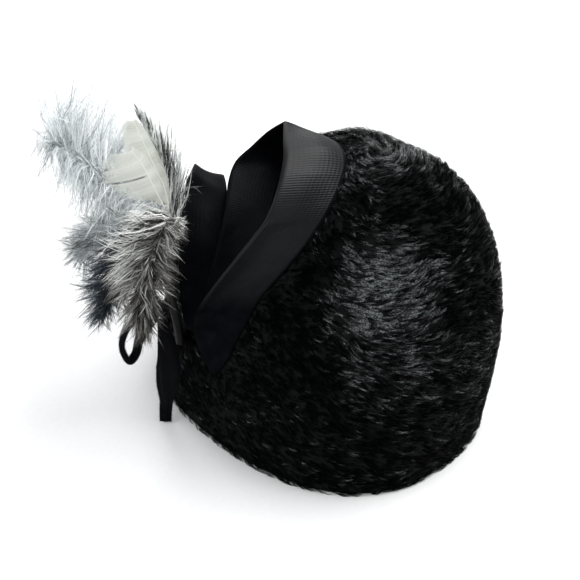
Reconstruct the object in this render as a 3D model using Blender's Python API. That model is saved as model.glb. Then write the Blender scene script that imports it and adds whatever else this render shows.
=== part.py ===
"""Feathered hat: a hollow fur felt crown with ribbon loops, feathers and a velvet tie at its front left.

Working axes: the trims sit towards -X, the side first looked at is -Y, +Z is up, the rim lies on z = 0.
At the end the whole hat is turned so that the wearer faces -Y with their left hand at +X.
"""

import math
import random
from collections import namedtuple

import bpy
from mathutils import Matrix, Vector

MM = 0.001

# Crown felt, measured under its nap.
RIM_LONG_HALF = 105.5 * MM
RIM_SHORT_HALF = 83.5 * MM
CROWN_HIGH = 164.0 * MM
WALL_HIGH = 30.0 * MM
CROWN_LEAN = 30.0 * MM
FELT_THICK = 3.0 * MM
OVAL_POWER = 2.4
DOME_POWER = 2.1
LEAN_POWER = 1.5
OVAL_TURN = math.radians(-45)
HAT_TURN = math.radians(135)

# The heart is the point inside the crown that bearings and rises are taken from.
HEART_LEAN_SHARE = 0.3
HEART_HIGH_SHARE = 0.38

# The dents and swells fade out below this rise, given as a share of straight down, so the rim stays an oval.
FADE_FROM = 0.35
FADE_OVER = 0.3

# Ribbon: its thickness, its clearance on the felt, how far the loops stand off and how far their rows bow.
RIBBON_THICK = 1.2 * MM
RIBBON_SEAT = 1.15 * MM
LOOP_STAND = 25.0 * MM
RIBBON_BOW = 4.0 * MM

# Feathers, binding and tie. The stands of spines off the felt are shares of TRIM_STAND.
TRIM_STAND = 100.0 * MM
LOCK_LONG = 25.0 * MM
CORE_HALF = 2.0 * MM
VANE_WIDE = 25.0 * MM
VANE_THICK = 0.8 * MM
SHAFT_THICK = 2.2 * MM
STALK_HALF = 2.6 * MM
STALK_HEAD_HALF = 4.4 * MM
ROOT_CLEAR = 0.8 * MM
TOUCH_GAP = 0.4 * MM
KNOT_HALF = 5.4 * MM
TIE_WIDE_HALF = 2.9 * MM
TIE_THICK_HALF = 2.0 * MM

# The felt's largest dent or swell.
SWELL_OUT = 2.2 * MM

# Shapes without a length: how a core starts and thins, how a lock narrows and varies, how a shaft thins.
CORE_ROOT = 0.55
CORE_THINS = 0.55
LOCK_NARROWS = 0.8
LOCK_VARIES = 0.25
SHAFT_THINS = 0.6
VANE_FACES = Vector((0, -0.82, 0.57))
KNOT_SIDE = Vector((-0.8, -0.6, 0))

# How finely the forms are divided.
CROWN_ROUND = 56
WALL_ROWS = 3
DOME_ROWS = 13
RIBBON_ACROSS = 4
PLUME_SIDES = 6
SHARP_FROM = math.radians(40)
BARE_STEPS = 2
FRONT_LOOP_STEPS = 46
SIDE_LOOP_STEPS = 26
STALK_STEPS = 12
GOOSE_STEPS = 16
TIE_LOOP_STEPS = 20
TIE_FALL_STEPS = 14

# Soft dents and swells of the felt: where, how far out as a share of SWELL_OUT, how wide in degrees.
Swell = namedtuple("Swell", "bearing rise out reach")
SWELLS = [
    Swell(bearing=-104, rise=62, out=0.8, reach=17),
    Swell(bearing=-138, rise=56, out=-1.0, reach=15),
    Swell(bearing=-160, rise=38, out=0.65, reach=18),
    Swell(bearing=128, rise=34, out=0.55, reach=20),
    Swell(bearing=96, rise=58, out=-0.75, reach=15),
    Swell(bearing=70, rise=8, out=-0.55, reach=22),
]

# A ribbon row gives both edges, each by bearing and rise in degrees and its stand off the felt as a share of
# LOOP_STAND, where 0 lies on the felt. Bearing 0 is the trim side and 90 the side first looked at.
# belly is how far the row bows outwards, as a share of RIBBON_BOW.
RIBBON_ROW_PARTS = "low_bearing low_rise low_stand free_bearing free_rise free_stand belly"
RibbonRow = namedtuple("RibbonRow", RIBBON_ROW_PARTS)
FRONT_LOOP = [
    RibbonRow(37, -9, 0, 34, -5, 0.16, 0.05),
    RibbonRow(42, 0, 0, 31, 3, 0.36, 0.25),
    RibbonRow(45, 11, 0, 32, 12, 0.64, 0.75),
    RibbonRow(48, 21, 0, 35, 21, 0.84, 1),
    RibbonRow(51, 31, 0, 41, 32, 1, 1),
    RibbonRow(57, 40, 0, 46, 41, 1.08, 1),
    RibbonRow(64, 49, 0, 51, 49, 1.16, 0.75),
    RibbonRow(72, 58, 0, 54, 55, 1.2, 0.75),
    RibbonRow(81, 67, 0, 52, 63, 1.24, 0.75),
    RibbonRow(91, 75, 0.06, 43, 70, 1.24, 0.75),
    RibbonRow(111, 83, 0.1, 27, 74, 1.24, 0.5),
    RibbonRow(142, 88, 0.24, -1, 76, 1.2, 0.25),
    RibbonRow(-78, 84, 0.24, -13, 75.5, 1.12, 0),
    RibbonRow(-71, 74, 0.12, -11, 70.5, 1.04, 0),
    RibbonRow(-46, 70, 0.06, -6, 65, 0.96, -0.25),
    RibbonRow(-5, 71, 0, -4, 59, 0.88, -0.5),
    RibbonRow(23, 65, 0, 6, 55.5, 0.84, -0.5),
    RibbonRow(34, 57, 0, 17, 51, 0.76, -0.5),
    RibbonRow(38, 47, 0, 24, 44.5, 0.68, -0.25),
    RibbonRow(39, 34, 0, 27, 34, 0.56, 0),
    RibbonRow(38, 19, 0, 27, 23, 0.4, 0),
    RibbonRow(37, 5, 0, 29, 11, 0.24, 0),
    RibbonRow(37, -4, 0, 33, 0, 0.1, 0),
]
SIDE_LOOP = [
    RibbonRow(32, 4, 0, 20, 3, 0.24, 0.12),
    RibbonRow(30, 10, 0, 18, 9, 0.36, 0.25),
    RibbonRow(27, 20, 0.05, 17, 18, 0.6, 0.5),
    RibbonRow(23, 31, 0.06, 16, 27, 0.88, 0.75),
    RibbonRow(15, 40, 0.09, 13, 34, 1.04, 0.75),
    RibbonRow(4, 46, 0.24, 7, 40, 1.16, 0.75),
    RibbonRow(-6, 50, 0.4, 0, 44, 1.28, 0.5),
    RibbonRow(-12, 50.5, 0.56, -5, 47, 1.32, 0.25),
    RibbonRow(-17, 48, 0.52, -12, 46, 1.24, 0),
    RibbonRow(-21, 41, 0.32, -18, 38, 1, 0),
    RibbonRow(-22, 30, 0.12, -20, 27, 0.72, 0),
    RibbonRow(-20, 18, 0.06, -15, 14, 0.4, 0),
    RibbonRow(-14, 6, 0, -8, 4, 0.12, 0),
]

# A spine's points: bearing and rise in degrees, stand off the felt as a share of TRIM_STAND.
Spot = namedtuple("Spot", "bearing rise stand")
STALK = [
    Spot(16, -6, 0),
    Spot(16, 3, 0.08),
    Spot(18, 14, 0.18),
    Spot(20, 25, 0.29),
    Spot(22, 33, 0.36),
]

# A plume: its spine after the root, the core's half width as a share of CORE_HALF, and the locks' length at
# root, middle and tip as shares of LOCK_LONG. sweep leans the locks towards the tip and droop lets them hang.
# flat shortens those facing front and back, left and up lengthen those on that side and shorten the others.
PLUME_PARTS = "spine core root_lock mid_lock tip_lock sweep droop flat left up steps seed"
Plume = namedtuple("Plume", PLUME_PARTS)
PLUMES = {
    "plume_front": Plume(
        spine=[
            Spot(31, 41, 0.54), Spot(34, 41.5, 0.64), Spot(34, 37, 0.64),
            Spot(32, 29, 0.57), Spot(29, 20, 0.49), Spot(28, 12, 0.42),
        ],
        core=1.1, root_lock=0.1, mid_lock=0.76, tip_lock=0.68,
        sweep=0.75, droop=0.4, flat=0.35, left=0.3, up=0,
        steps=11, seed=3,
    ),
    "plume_top": Plume(
        spine=[Spot(7, 36, 0.47), Spot(2, 34, 0.63), Spot(-1, 34, 0.84), Spot(-2, 34, 1.04)],
        core=1.1, root_lock=0.24, mid_lock=0.92, tip_lock=0.96,
        sweep=0.6, droop=0.05, flat=0.8, left=0, up=0.45,
        steps=12, seed=5,
    ),
    "plume_mid": Plume(
        spine=[Spot(4, 27, 0.44), Spot(-1, 19, 0.53), Spot(-4, 12, 0.6)],
        core=1, root_lock=0.1, mid_lock=0.64, tip_lock=0.76,
        sweep=0.8, droop=0.25, flat=0.9, left=0, up=-0.35,
        steps=10, seed=8,
    ),
    "plume_low": Plume(
        spine=[Spot(14, 25, 0.5), Spot(10, 15, 0.44), Spot(7, 8, 0.41), Spot(4, 1, 0.43)],
        core=1, root_lock=0.06, mid_lock=0.48, tip_lock=0.68,
        sweep=0.8, droop=0.3, flat=0.9, left=0.2, up=-0.3,
        steps=10, seed=13,
    ),
    "hackle_dark": Plume(
        spine=[Spot(12, 43, 0.45), Spot(8, 48, 0.61), Spot(5, 50, 0.8)],
        core=0.65, root_lock=0.1, mid_lock=0.28, tip_lock=0.24,
        sweep=1.1, droop=0, flat=0.7, left=0, up=0,
        steps=10, seed=21,
    ),
}

# A goose feather: its shaft after the root, then the vane's width on either side and how far it curls back,
# as shares of VANE_WIDE.
VaneRow = namedtuple("VaneRow", "along left right curl")
Goose = namedtuple("Goose", "shaft vane")
GOOSE = {
    "goose_front": Goose(
        shaft=[Spot(26, 41, 0.54), Spot(26, 45, 0.71), Spot(26, 47, 0.83), Spot(26, 48, 0.95)],
        vane=[
            VaneRow(0.00, 0.036, 0.036, 0),
            VaneRow(0.30, 0.036, 0.036, 0),
            VaneRow(0.42, 0.2, 0.1, 0.02),
            VaneRow(0.52, 0.52, 0.16, 0.06),
            VaneRow(0.62, 0.84, 0.2, 0.12),
            VaneRow(0.72, 0.96, 0.22, 0.16),
            VaneRow(0.82, 0.92, 0.2, 0.16),
            VaneRow(0.92, 0.68, 0.16, 0.1),
            VaneRow(1.00, 0.2, 0.06, 0.04),
        ],
    ),
    "goose_back": Goose(
        shaft=[Spot(19, 44, 0.54), Spot(18, 48, 0.73), Spot(16, 51, 0.93)],
        vane=[
            VaneRow(0.00, 0.036, 0.036, 0),
            VaneRow(0.25, 0.036, 0.036, 0),
            VaneRow(0.38, 0.16, 0.08, 0.02),
            VaneRow(0.52, 0.32, 0.16, 0.04),
            VaneRow(0.68, 0.4, 0.2, 0.08),
            VaneRow(0.84, 0.38, 0.18, 0.08),
            VaneRow(0.94, 0.28, 0.12, 0.04),
            VaneRow(1.00, 0.1, 0.04, 0.02),
        ],
    ),
}

# The velvet tie: an open loop to the left, and a fall that loops down by the felt and ends in a cut tail.
KNOT_ALONG = 0.42
TIE_LOOP = [
    Spot(19, 9, 0.35),
    Spot(19, 5, 0.41),
    Spot(18, -1, 0.41),
    Spot(18, -6, 0.36),
    Spot(17, -5, 0.31),
    Spot(16, 0, 0.285),
]
TIE_FALL = [
    Spot(25, -4, 0.17),
    Spot(24, -13, 0.145),
    Spot(22, -20, 0.14),
    Spot(21, -24, 0.145),
    Spot(21, -28.5, 0.16),
]
# Half width of the fall from the knot to its cut end, as shares of TIE_WIDE_HALF: a flattened loop above, one
# strip below.
FALL_HALVES = [0.7, 1.4, 2.0, 1.6, 1.1, 1.1]


def oval_reach(turn):
    """How far the head oval reaches from its middle, in the direction turn, in metres."""
    along = abs(math.cos(turn - OVAL_TURN)) / RIM_LONG_HALF
    across = abs(math.sin(turn - OVAL_TURN)) / RIM_SHORT_HALF
    return (along ** OVAL_POWER + across ** OVAL_POWER) ** (-1 / OVAL_POWER)


def lean_at(height):
    share = min(max(height / CROWN_HIGH, 0.0), 1.0)
    return CROWN_LEAN * share ** LEAN_POWER


def dome_narrowing(height):
    """The share of the head oval left at a height: 1 up the wall, 0 at the top."""
    climb = min(max((height - WALL_HIGH) / (CROWN_HIGH - WALL_HIGH), 0.0), 1.0)
    return (1 - climb ** DOME_POWER) ** (1 / DOME_POWER)


HEART = Vector((HEART_LEAN_SHARE * CROWN_LEAN, 0, HEART_HIGH_SHARE * CROWN_HIGH))


def heading(bearing, rise):
    side, up = math.radians(bearing), math.radians(rise)
    return Vector((-math.cos(side) * math.cos(up), -math.sin(side) * math.cos(up), math.sin(up)))


def swell_towards(direction):
    """How far the dents and swells move the felt out in a direction from the heart, in metres."""
    moved = 0.0
    for swell in SWELLS:
        apart = math.degrees(direction.angle(heading(swell.bearing, swell.rise)))
        moved += swell.out * SWELL_OUT * math.exp(-((apart / swell.reach) ** 2))
    fade = min(max((direction.z + FADE_FROM) / FADE_OVER, 0.0), 1.0)
    return moved * fade


def felt_distance(direction):
    """From the heart to the felt's outer face, in a direction."""
    near, far = 0.0, RIM_LONG_HALF + CROWN_HIGH
    for _ in range(36):
        middle = (near + far) / 2
        point = HEART + direction * middle
        flat = Vector((point.x - lean_at(point.z), point.y))
        inside = point.z < CROWN_HIGH
        if inside:
            inside = flat.length < oval_reach(math.atan2(flat.y, flat.x)) * dome_narrowing(point.z)
        if inside:
            near = middle
        else:
            far = middle
    return near + swell_towards(direction)


def off_felt(bearing, rise, stand):
    """The point that stands some way off the felt, seen from the crown's heart."""
    direction = heading(bearing, rise)
    return HEART + direction * (felt_distance(direction) + stand)


def off_felt_spots(spots):
    """The points of a spine; a stand of 0 is a stalk that lies on the felt."""
    seat = STALK_HALF + TOUCH_GAP
    return [off_felt(spot.bearing, spot.rise, max(spot.stand * TRIM_STAND, seat)) for spot in spots]


def smooth_path(points, steps):
    """Points evenly spread along a smooth curve through the given ones."""
    before = [points[0] * 2 - points[1]] + points
    ends = before + [points[-1] * 2 - points[-2]]
    fine = []
    for i in range(len(points) - 1):
        a, b, c, d = ends[i:i + 4]
        for j in range(12):
            t = j / 12
            bend = (a * -1 + b * 3 - c * 3 + d) * t ** 3
            bend += (a * 2 - b * 5 + c * 4 - d) * t ** 2
            bend += (c - a) * t + b * 2
            fine.append(bend / 2)
    fine.append(points[-1])
    lengths = [0.0]
    for p, q in zip(fine, fine[1:]):
        lengths.append(lengths[-1] + (q - p).length)
    spread = []
    at = 0
    for k in range(steps + 1):
        wanted = lengths[-1] * k / steps
        while at < len(fine) - 2 and lengths[at + 1] < wanted:
            at += 1
        share = (wanted - lengths[at]) / max(lengths[at + 1] - lengths[at], 1e-9)
        spread.append(fine[at].lerp(fine[at + 1], min(share, 1.0)))
    return spread


def tangents(path):
    found = []
    for i in range(len(path)):
        ahead = path[min(i + 1, len(path) - 1)]
        behind = path[max(i - 1, 0)]
        found.append((ahead - behind).normalized())
    return found


def frames(path, first_side):
    """A side and an up direction at each point of a path, turned as little as possible along it."""
    side = first_side
    found = []
    for tangent in tangents(path):
        side = (side - tangent * side.dot(tangent)).normalized()
        found.append((tangent, side, tangent.cross(side).normalized()))
    return found


def signed_volume(points, faces):
    total = 0.0
    for face in faces:
        a = points[face[0]]
        for i in range(1, len(face) - 1):
            total += a.dot(points[face[i]].cross(points[face[i + 1]]))
    return total / 6


def facing_out(points, faces):
    if signed_volume(points, faces) < 0:
        return [tuple(reversed(face)) for face in faces]
    return faces


def crown_point(turn, level):
    """A point of the felt's outer face: level counts rows from the rim to the top."""
    if level <= WALL_ROWS:
        height, share = WALL_HIGH * level / WALL_ROWS, 1.0
    else:
        climb = math.radians(90 * (level - WALL_ROWS) / DOME_ROWS)
        height = WALL_HIGH + (CROWN_HIGH - WALL_HIGH) * math.sin(climb) ** (2 / DOME_POWER)
        share = max(math.cos(climb), 0.0) ** (2 / DOME_POWER)
    reach = oval_reach(turn) * share
    point = Vector((lean_at(height) + reach * math.cos(turn), reach * math.sin(turn), height))
    outward = point - HEART
    direction = outward.normalized()
    return HEART + direction * (outward.length + swell_towards(direction))


def crown_body():
    """The felt shell: an outer face, an inner face one felt thickness in, and a flat rim between them."""
    levels = WALL_ROWS + DOME_ROWS
    rows = []
    for level in range(levels):
        rows.append([crown_point(2 * math.pi * k / CROWN_ROUND, level) for k in range(CROWN_ROUND)])
    top = crown_point(0, levels)
    outer = []
    inner = []
    for level, row in enumerate(rows):
        above = rows[level + 1] if level + 1 < levels else [top] * CROWN_ROUND
        below = rows[level - 1] if level else row
        for k, point in enumerate(row):
            around = row[(k + 1) % CROWN_ROUND] - row[k - 1]
            outward = around.cross(above[k] - below[k]).normalized()
            if level < 2:
                outward = Vector((outward.x, outward.y, 0)).normalized()
            outer.append(point)
            inner.append(point - outward * FELT_THICK)
    points = outer + [top] + inner + [top - Vector((0, 0, FELT_THICK))]
    shift = len(outer) + 1
    faces = []
    for level in range(levels - 1):
        for k in range(CROWN_ROUND):
            a = level * CROWN_ROUND + k
            b = level * CROWN_ROUND + (k + 1) % CROWN_ROUND
            quad = (a, b, b + CROWN_ROUND, a + CROWN_ROUND)
            faces.append(quad)
            faces.append(tuple(i + shift for i in reversed(quad)))
    last = (levels - 1) * CROWN_ROUND
    for k in range(CROWN_ROUND):
        after = (k + 1) % CROWN_ROUND
        faces.append((last + k, last + after, shift - 1))
        faces.append((shift + last + after, shift + last + k, len(points) - 1))
        faces.append((after, k, shift + k, shift + after))
    return points, facing_out(points, faces)


def slab(grid, thick_at):
    """A closed thin body around a grid of points, thickened to both sides of it."""
    rows, across = len(grid), len(grid[0])
    upper = []
    lower = []
    for i in range(rows):
        for j in range(across):
            along = grid[min(i + 1, rows - 1)][j] - grid[max(i - 1, 0)][j]
            over = grid[i][min(j + 1, across - 1)] - grid[i][max(j - 1, 0)]
            half = along.cross(over).normalized() * (thick_at(i, j) / 2)
            upper.append(grid[i][j] + half)
            lower.append(grid[i][j] - half)
    points = upper + lower
    shift = len(upper)
    faces = []
    for i in range(rows - 1):
        for j in range(across - 1):
            a = i * across + j
            quad = (a, a + 1, a + across + 1, a + across)
            faces.append(quad)
            faces.append(tuple(k + shift for k in reversed(quad)))
    rim = list(range(across))
    rim += [i * across + across - 1 for i in range(1, rows)]
    rim += [(rows - 1) * across + j for j in range(across - 2, -1, -1)]
    rim += [i * across for i in range(rows - 2, 0, -1)]
    for a, b in zip(rim, rim[1:] + rim[:1]):
        faces.append((b, a, a + shift, b + shift))
    return points, facing_out(points, faces)


def ribbon_grid(rows, steps):
    """A ribbon's middle face: both edges as smooth curves, bowed between them by each row's belly."""
    low_edge = []
    free_edge = []
    for row in rows:
        low_edge.append(off_felt(row.low_bearing, row.low_rise, max(row.low_stand * LOOP_STAND, RIBBON_SEAT)))
        free_edge.append(off_felt(row.free_bearing, row.free_rise, row.free_stand * LOOP_STAND))
    low = smooth_path(low_edge, steps)
    free = smooth_path(free_edge, steps)
    grid = []
    for i in range(steps + 1):
        at = (len(rows) - 1) * i / steps
        first = min(int(at), len(rows) - 2)
        belly = rows[first].belly + (rows[first + 1].belly - rows[first].belly) * (at - first)
        ahead = low[min(i + 1, steps)] - low[max(i - 1, 0)] + free[min(i + 1, steps)] - free[max(i - 1, 0)]
        outward = ahead.cross(free[i] - low[i]).normalized()
        line = []
        for j in range(RIBBON_ACROSS + 1):
            share = j / RIBBON_ACROSS
            bow = belly * RIBBON_BOW * math.sin(math.pi * share)
            line.append(low[i].lerp(free[i], share) - outward * bow)
        grid.append(line)
    return grid


def ribbon_body(rows, steps):
    return slab(ribbon_grid(rows, steps), lambda i, j: RIBBON_THICK)


def tube_body(path, half_sizes, first_side, sides=8):
    """A tube along a path; half_sizes gives its half width and half thickness at each point."""
    points = []
    faces = []
    for (tangent, side, up), centre, (wide, thick) in zip(frames(path, first_side), path, half_sizes):
        for k in range(sides):
            turn = 2 * math.pi * (k + 0.5) / sides
            points.append(centre + side * (wide * math.cos(turn)) + up * (thick * math.sin(turn)))
    for i in range(len(path) - 1):
        for k in range(sides):
            after = (k + 1) % sides
            faces.append((i * sides + k, i * sides + after, (i + 1) * sides + after, (i + 1) * sides + k))
    faces.append(tuple(range(sides - 1, -1, -1)))
    faces.append(tuple((len(path) - 1) * sides + k for k in range(sides)))
    return points, facing_out(points, faces)


def ball_body(centre, half, sides=10, rows=6):
    points = [centre - Vector((0, 0, half))]
    for i in range(1, rows):
        down = math.pi * i / rows
        for k in range(sides):
            turn = 2 * math.pi * k / sides
            spoke = Vector((math.cos(turn), math.sin(turn), 0)) * math.sin(down)
            points.append(centre + (spoke - Vector((0, 0, math.cos(down)))) * half)
    points.append(centre + Vector((0, 0, half)))
    faces = []
    last = len(points) - 1
    for k in range(sides):
        after = (k + 1) % sides
        faces.append((0, 1 + after, 1 + k))
        for i in range(rows - 2):
            a = 1 + i * sides
            faces.append((a + k, a + after, a + sides + after, a + sides + k))
        faces.append((last - sides + k, last - sides + after, last))
    return points, facing_out(points, faces)


def stalk_path():
    return smooth_path(off_felt_spots(STALK), STALK_STEPS)


def stalk_body():
    """The quills bound together: a thin stalk on the felt, thicker at the head that the feathers leave."""
    path = stalk_path()
    sizes = []
    for i in range(len(path)):
        share = i / (len(path) - 1)
        half = STALK_HALF + (STALK_HEAD_HALF - STALK_HALF) * max(share * 2 - 1, 0.0)
        sizes.append((half, half))
    head = path[-1]
    onwards = tangents(path)[-1]
    for rounding in (35, 65, 82):
        path.append(head + onwards * (STALK_HEAD_HALF * math.sin(math.radians(rounding))))
        half = STALK_HEAD_HALF * math.cos(math.radians(rounding))
        sizes.append((half, half))
    return tube_body(path, sizes, Vector((0, 1, 0)))


def feather_path(spots, root_shift, steps):
    """A feather's path, from the face of the stalk's head out along its spots."""
    head = stalk_path()[-1]
    points = off_felt_spots(spots)
    leaving = (points[0] - head).normalized() + root_shift
    start = head + leaving.normalized() * (STALK_HEAD_HALF + ROOT_CLEAR)
    return smooth_path([start] + points, steps)


def plume_body(plume, root_shift):
    """A core along the spine, bare at the root, then with each facet drawn out into a tapering lock."""
    rng = random.Random(plume.seed)
    path = feather_path(plume.spine, root_shift, plume.steps)
    sides = PLUME_SIDES
    points = []
    sets = frames(path, Vector((0, 1, 0)))
    for i, ((tangent, side, up), centre) in enumerate(zip(sets, path)):
        share = i / plume.steps
        swelling = math.sin(math.pi * min(share * 1.4, 0.5))
        half = plume.core * CORE_HALF * (CORE_ROOT + (1 - CORE_ROOT) * swelling) * (1 - CORE_THINS * share)
        for k in range(sides):
            turn = 2 * math.pi * (k + 0.5) / sides
            points.append(centre + (side * math.cos(turn) + up * math.sin(turn)) * half)
    faces = [tuple(range(sides - 1, -1, -1))]
    for i in range(plume.steps):
        tangent, side, up = sets[i]
        share = (i + 0.5) / plume.steps
        if share < 0.5:
            reach = plume.root_lock + (plume.mid_lock - plume.root_lock) * share * 2
        else:
            reach = plume.mid_lock + (plume.tip_lock - plume.mid_lock) * (share * 2 - 1)
        for k in range(sides):
            after = (k + 1) % sides
            quad = (i * sides + k, i * sides + after, (i + 1) * sides + after, (i + 1) * sides + k)
            if i < BARE_STEPS:
                faces.append(quad)
                continue
            middle = sum((points[c] for c in quad), Vector()) / 4
            turn = 2 * math.pi * (k + 1) / sides
            outward = (side * math.cos(turn) + up * math.sin(turn)).normalized()
            length = reach * LOCK_LONG * rng.uniform(1 - LOCK_VARIES, 1)
            length *= 1 - (1 - plume.flat) * abs(outward.y)
            length *= 1 - plume.left * outward.x + plume.up * outward.z
            lean = (outward + tangent * plume.sweep).normalized()
            hung = (lean - Vector((0, 0, plume.droop))).normalized()
            ring = len(points)
            for c in quad:
                points.append(middle + (points[c] - middle) * LOCK_NARROWS + lean * (length / 2))
            tip = len(points)
            points.append(middle + (lean + hung) * (length / 2))
            for c in range(4):
                d = (c + 1) % 4
                faces.append((quad[c], quad[d], ring + d, ring + c))
                faces.append((ring + c, ring + d, tip))
    tip = len(points)
    points.append(path[-1] + sets[-1][0] * (plume.tip_lock * LOCK_LONG * LOCK_NARROWS))
    last = plume.steps * sides
    for k in range(sides):
        faces.append((last + k, last + (k + 1) % sides, tip))
    return points, facing_out(points, faces)


def vane_widths(vane, share):
    for a, b in zip(vane, vane[1:]):
        if share <= b.along:
            t = (share - a.along) / (b.along - a.along)
            return [p + (q - p) * t for p, q in zip(a[1:], b[1:])]
    return list(vane[-1][1:])


def goose_body(goose, root_shift):
    """A goose feather: a shaft with a thin vane to either side, curling back towards its edges."""
    steps = GOOSE_STEPS
    path = feather_path(goose.shaft, root_shift, steps)
    grid = []
    for i, tangent in enumerate(tangents(path)):
        left, right, curl = vane_widths(goose.vane, i / steps)
        face = (VANE_FACES - tangent * VANE_FACES.dot(tangent)).normalized()
        side = tangent.cross(face).normalized()
        line = []
        for share, width in ((1, -left), (0.5, -left), (0, 0), (0.5, right), (1, right)):
            line.append(path[i] + (side * width * share - face * curl * share * share) * VANE_WIDE)
        grid.append(line)
    return slab(grid, lambda i, j: SHAFT_THICK * (1 - SHAFT_THINS * i / steps) if j == 2 else VANE_THICK)


def knot_centre():
    """The knot sits against the stalk's outer side."""
    path = stalk_path()
    beside = path[round(KNOT_ALONG * (len(path) - 1))]
    return beside + KNOT_SIDE * (STALK_HALF + KNOT_HALF + TOUCH_GAP)


def from_knot(point):
    """Where a tie that leads to a point leaves the knot."""
    centre = knot_centre()
    return centre + (point - centre).normalized() * (KNOT_HALF + TOUCH_GAP)


def tie_loop_body():
    points = off_felt_spots(TIE_LOOP)
    path = smooth_path([from_knot(points[0])] + points + [from_knot(points[-1])], TIE_LOOP_STEPS)
    return tube_body(path, [(TIE_WIDE_HALF, TIE_THICK_HALF)] * len(path), Vector((0, 1, 0)))


def tie_fall_body():
    """The fall lies with its wide side towards the front, so it starts across and hangs straight."""
    points = off_felt_spots(TIE_FALL)
    steps = TIE_FALL_STEPS
    path = smooth_path([from_knot(points[0])] + points, steps)
    sizes = []
    for i in range(steps + 1):
        at = (len(FALL_HALVES) - 1) * i / steps
        first = min(int(at), len(FALL_HALVES) - 2)
        half = FALL_HALVES[first] + (FALL_HALVES[first + 1] - FALL_HALVES[first]) * (at - first)
        sizes.append((half * TIE_WIDE_HALF, TIE_THICK_HALF))
    return tube_body(path, sizes, Vector((1, 0, 0)))


def paint(name, colour, roughness):
    material = bpy.data.materials.new(name)
    material.use_nodes = True
    shader = material.node_tree.nodes["Principled BSDF"]
    shader.inputs["Base Color"].default_value = (*colour, 1)
    shader.inputs["Roughness"].default_value = roughness
    material.diffuse_color = (*colour, 1)
    return material


for old in list(bpy.data.objects):
    bpy.data.objects.remove(old, do_unlink=True)

# How each feather's root is moved round the stalk's head, as shares of STALK_HEAD_HALF.
ROOT_SHIFTS = {
    "plume_front": Vector((0, -0.91, 0)),
    "goose_front": Vector((0, -0.23, 0.45)),
    "goose_back": Vector((0, 0.45, 0.68)),
    "hackle_dark": Vector((0.45, 1.14, 0.45)),
    "plume_top": Vector((-0.45, 0.91, 0.23)),
    "plume_mid": Vector((-1.14, 0.68, -0.23)),
    "plume_low": Vector((-2.05, -0.91, 0)),
}

BODIES = {
    "crown": (crown_body(), "fur_felt"),
    "loop_front": (ribbon_body(FRONT_LOOP, FRONT_LOOP_STEPS), "grosgrain_front"),
    "loop_side": (ribbon_body(SIDE_LOOP, SIDE_LOOP_STEPS), "grosgrain_side"),
    "quill_stalk": (stalk_body(), "binding_thread"),
    "tie_knot": (ball_body(knot_centre(), KNOT_HALF), "velvet_knot"),
    "tie_loop": (tie_loop_body(), "velvet_loop"),
    "tie_fall": (tie_fall_body(), "velvet_fall"),
}
for feather, plume in PLUMES.items():
    BODIES[feather] = (plume_body(plume, ROOT_SHIFTS[feather]), feather + "_down")
for feather, goose in GOOSE.items():
    BODIES[feather] = (goose_body(goose, ROOT_SHIFTS[feather]), feather + "_vane")

PAINTS = {
    "fur_felt": ((0.012, 0.013, 0.013), 0.85),
    "grosgrain_front": ((0.014, 0.015, 0.018), 0.6),
    "grosgrain_side": ((0.014, 0.015, 0.018), 0.6),
    "binding_thread": ((0.02, 0.02, 0.02), 0.8),
    "velvet_knot": ((0.008, 0.008, 0.009), 0.95),
    "velvet_loop": ((0.008, 0.008, 0.009), 0.95),
    "velvet_fall": ((0.008, 0.008, 0.009), 0.95),
    "plume_front_down": ((0.55, 0.53, 0.48), 0.9),
    "plume_top_down": ((0.66, 0.70, 0.72), 0.9),
    "plume_mid_down": ((0.42, 0.44, 0.45), 0.9),
    "plume_low_down": ((0.03, 0.05, 0.08), 0.9),
    "hackle_dark_down": ((0.03, 0.03, 0.03), 0.7),
    "goose_front_vane": ((0.68, 0.70, 0.66), 0.7),
    "goose_back_vane": ((0.64, 0.66, 0.62), 0.7),
}

# The hat hangs on an empty that turns it to its wearing direction, with the origin in the middle of its base.
turn_hat = Matrix.Rotation(HAT_TURN, 3, "Z")
everything = [turn_hat @ point for body, slot in BODIES.values() for point in body[0]]
low = [min(point[i] for point in everything) for i in range(3)]
high = [max(point[i] for point in everything) for i in range(3)]
hat_frame = bpy.data.objects.new("hat_frame", None)
hat_frame.rotation_euler = (0, 0, HAT_TURN)
hat_frame.location = (-(low[0] + high[0]) / 2, -(low[1] + high[1]) / 2, -low[2])
bpy.context.collection.objects.link(hat_frame)

for name, (body, slot) in BODIES.items():
    mesh = bpy.data.meshes.new(name)
    mesh.from_pydata(body[0], [], body[1])
    mesh.materials.append(paint(slot, *PAINTS[slot]))
    mesh.shade_smooth()
    mesh.set_sharp_from_angle(angle=SHARP_FROM)
    item = bpy.data.objects.new(name, mesh)
    item.parent = hat_frame
    bpy.context.collection.objects.link(item)
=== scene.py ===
"""Looks of the feathered hat: black long-napped fur felt, grosgrain loops, feathers and a velvet tie.

Lengths are in millimetres on the hatter's axes: the trims sit towards -X, the side first looked at is -Y and
+Z is up. on_hat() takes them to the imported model's own frame.
"""

import math

import bpy
import numpy as np
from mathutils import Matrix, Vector
from mathutils.bvhtree import BVHTree


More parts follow.
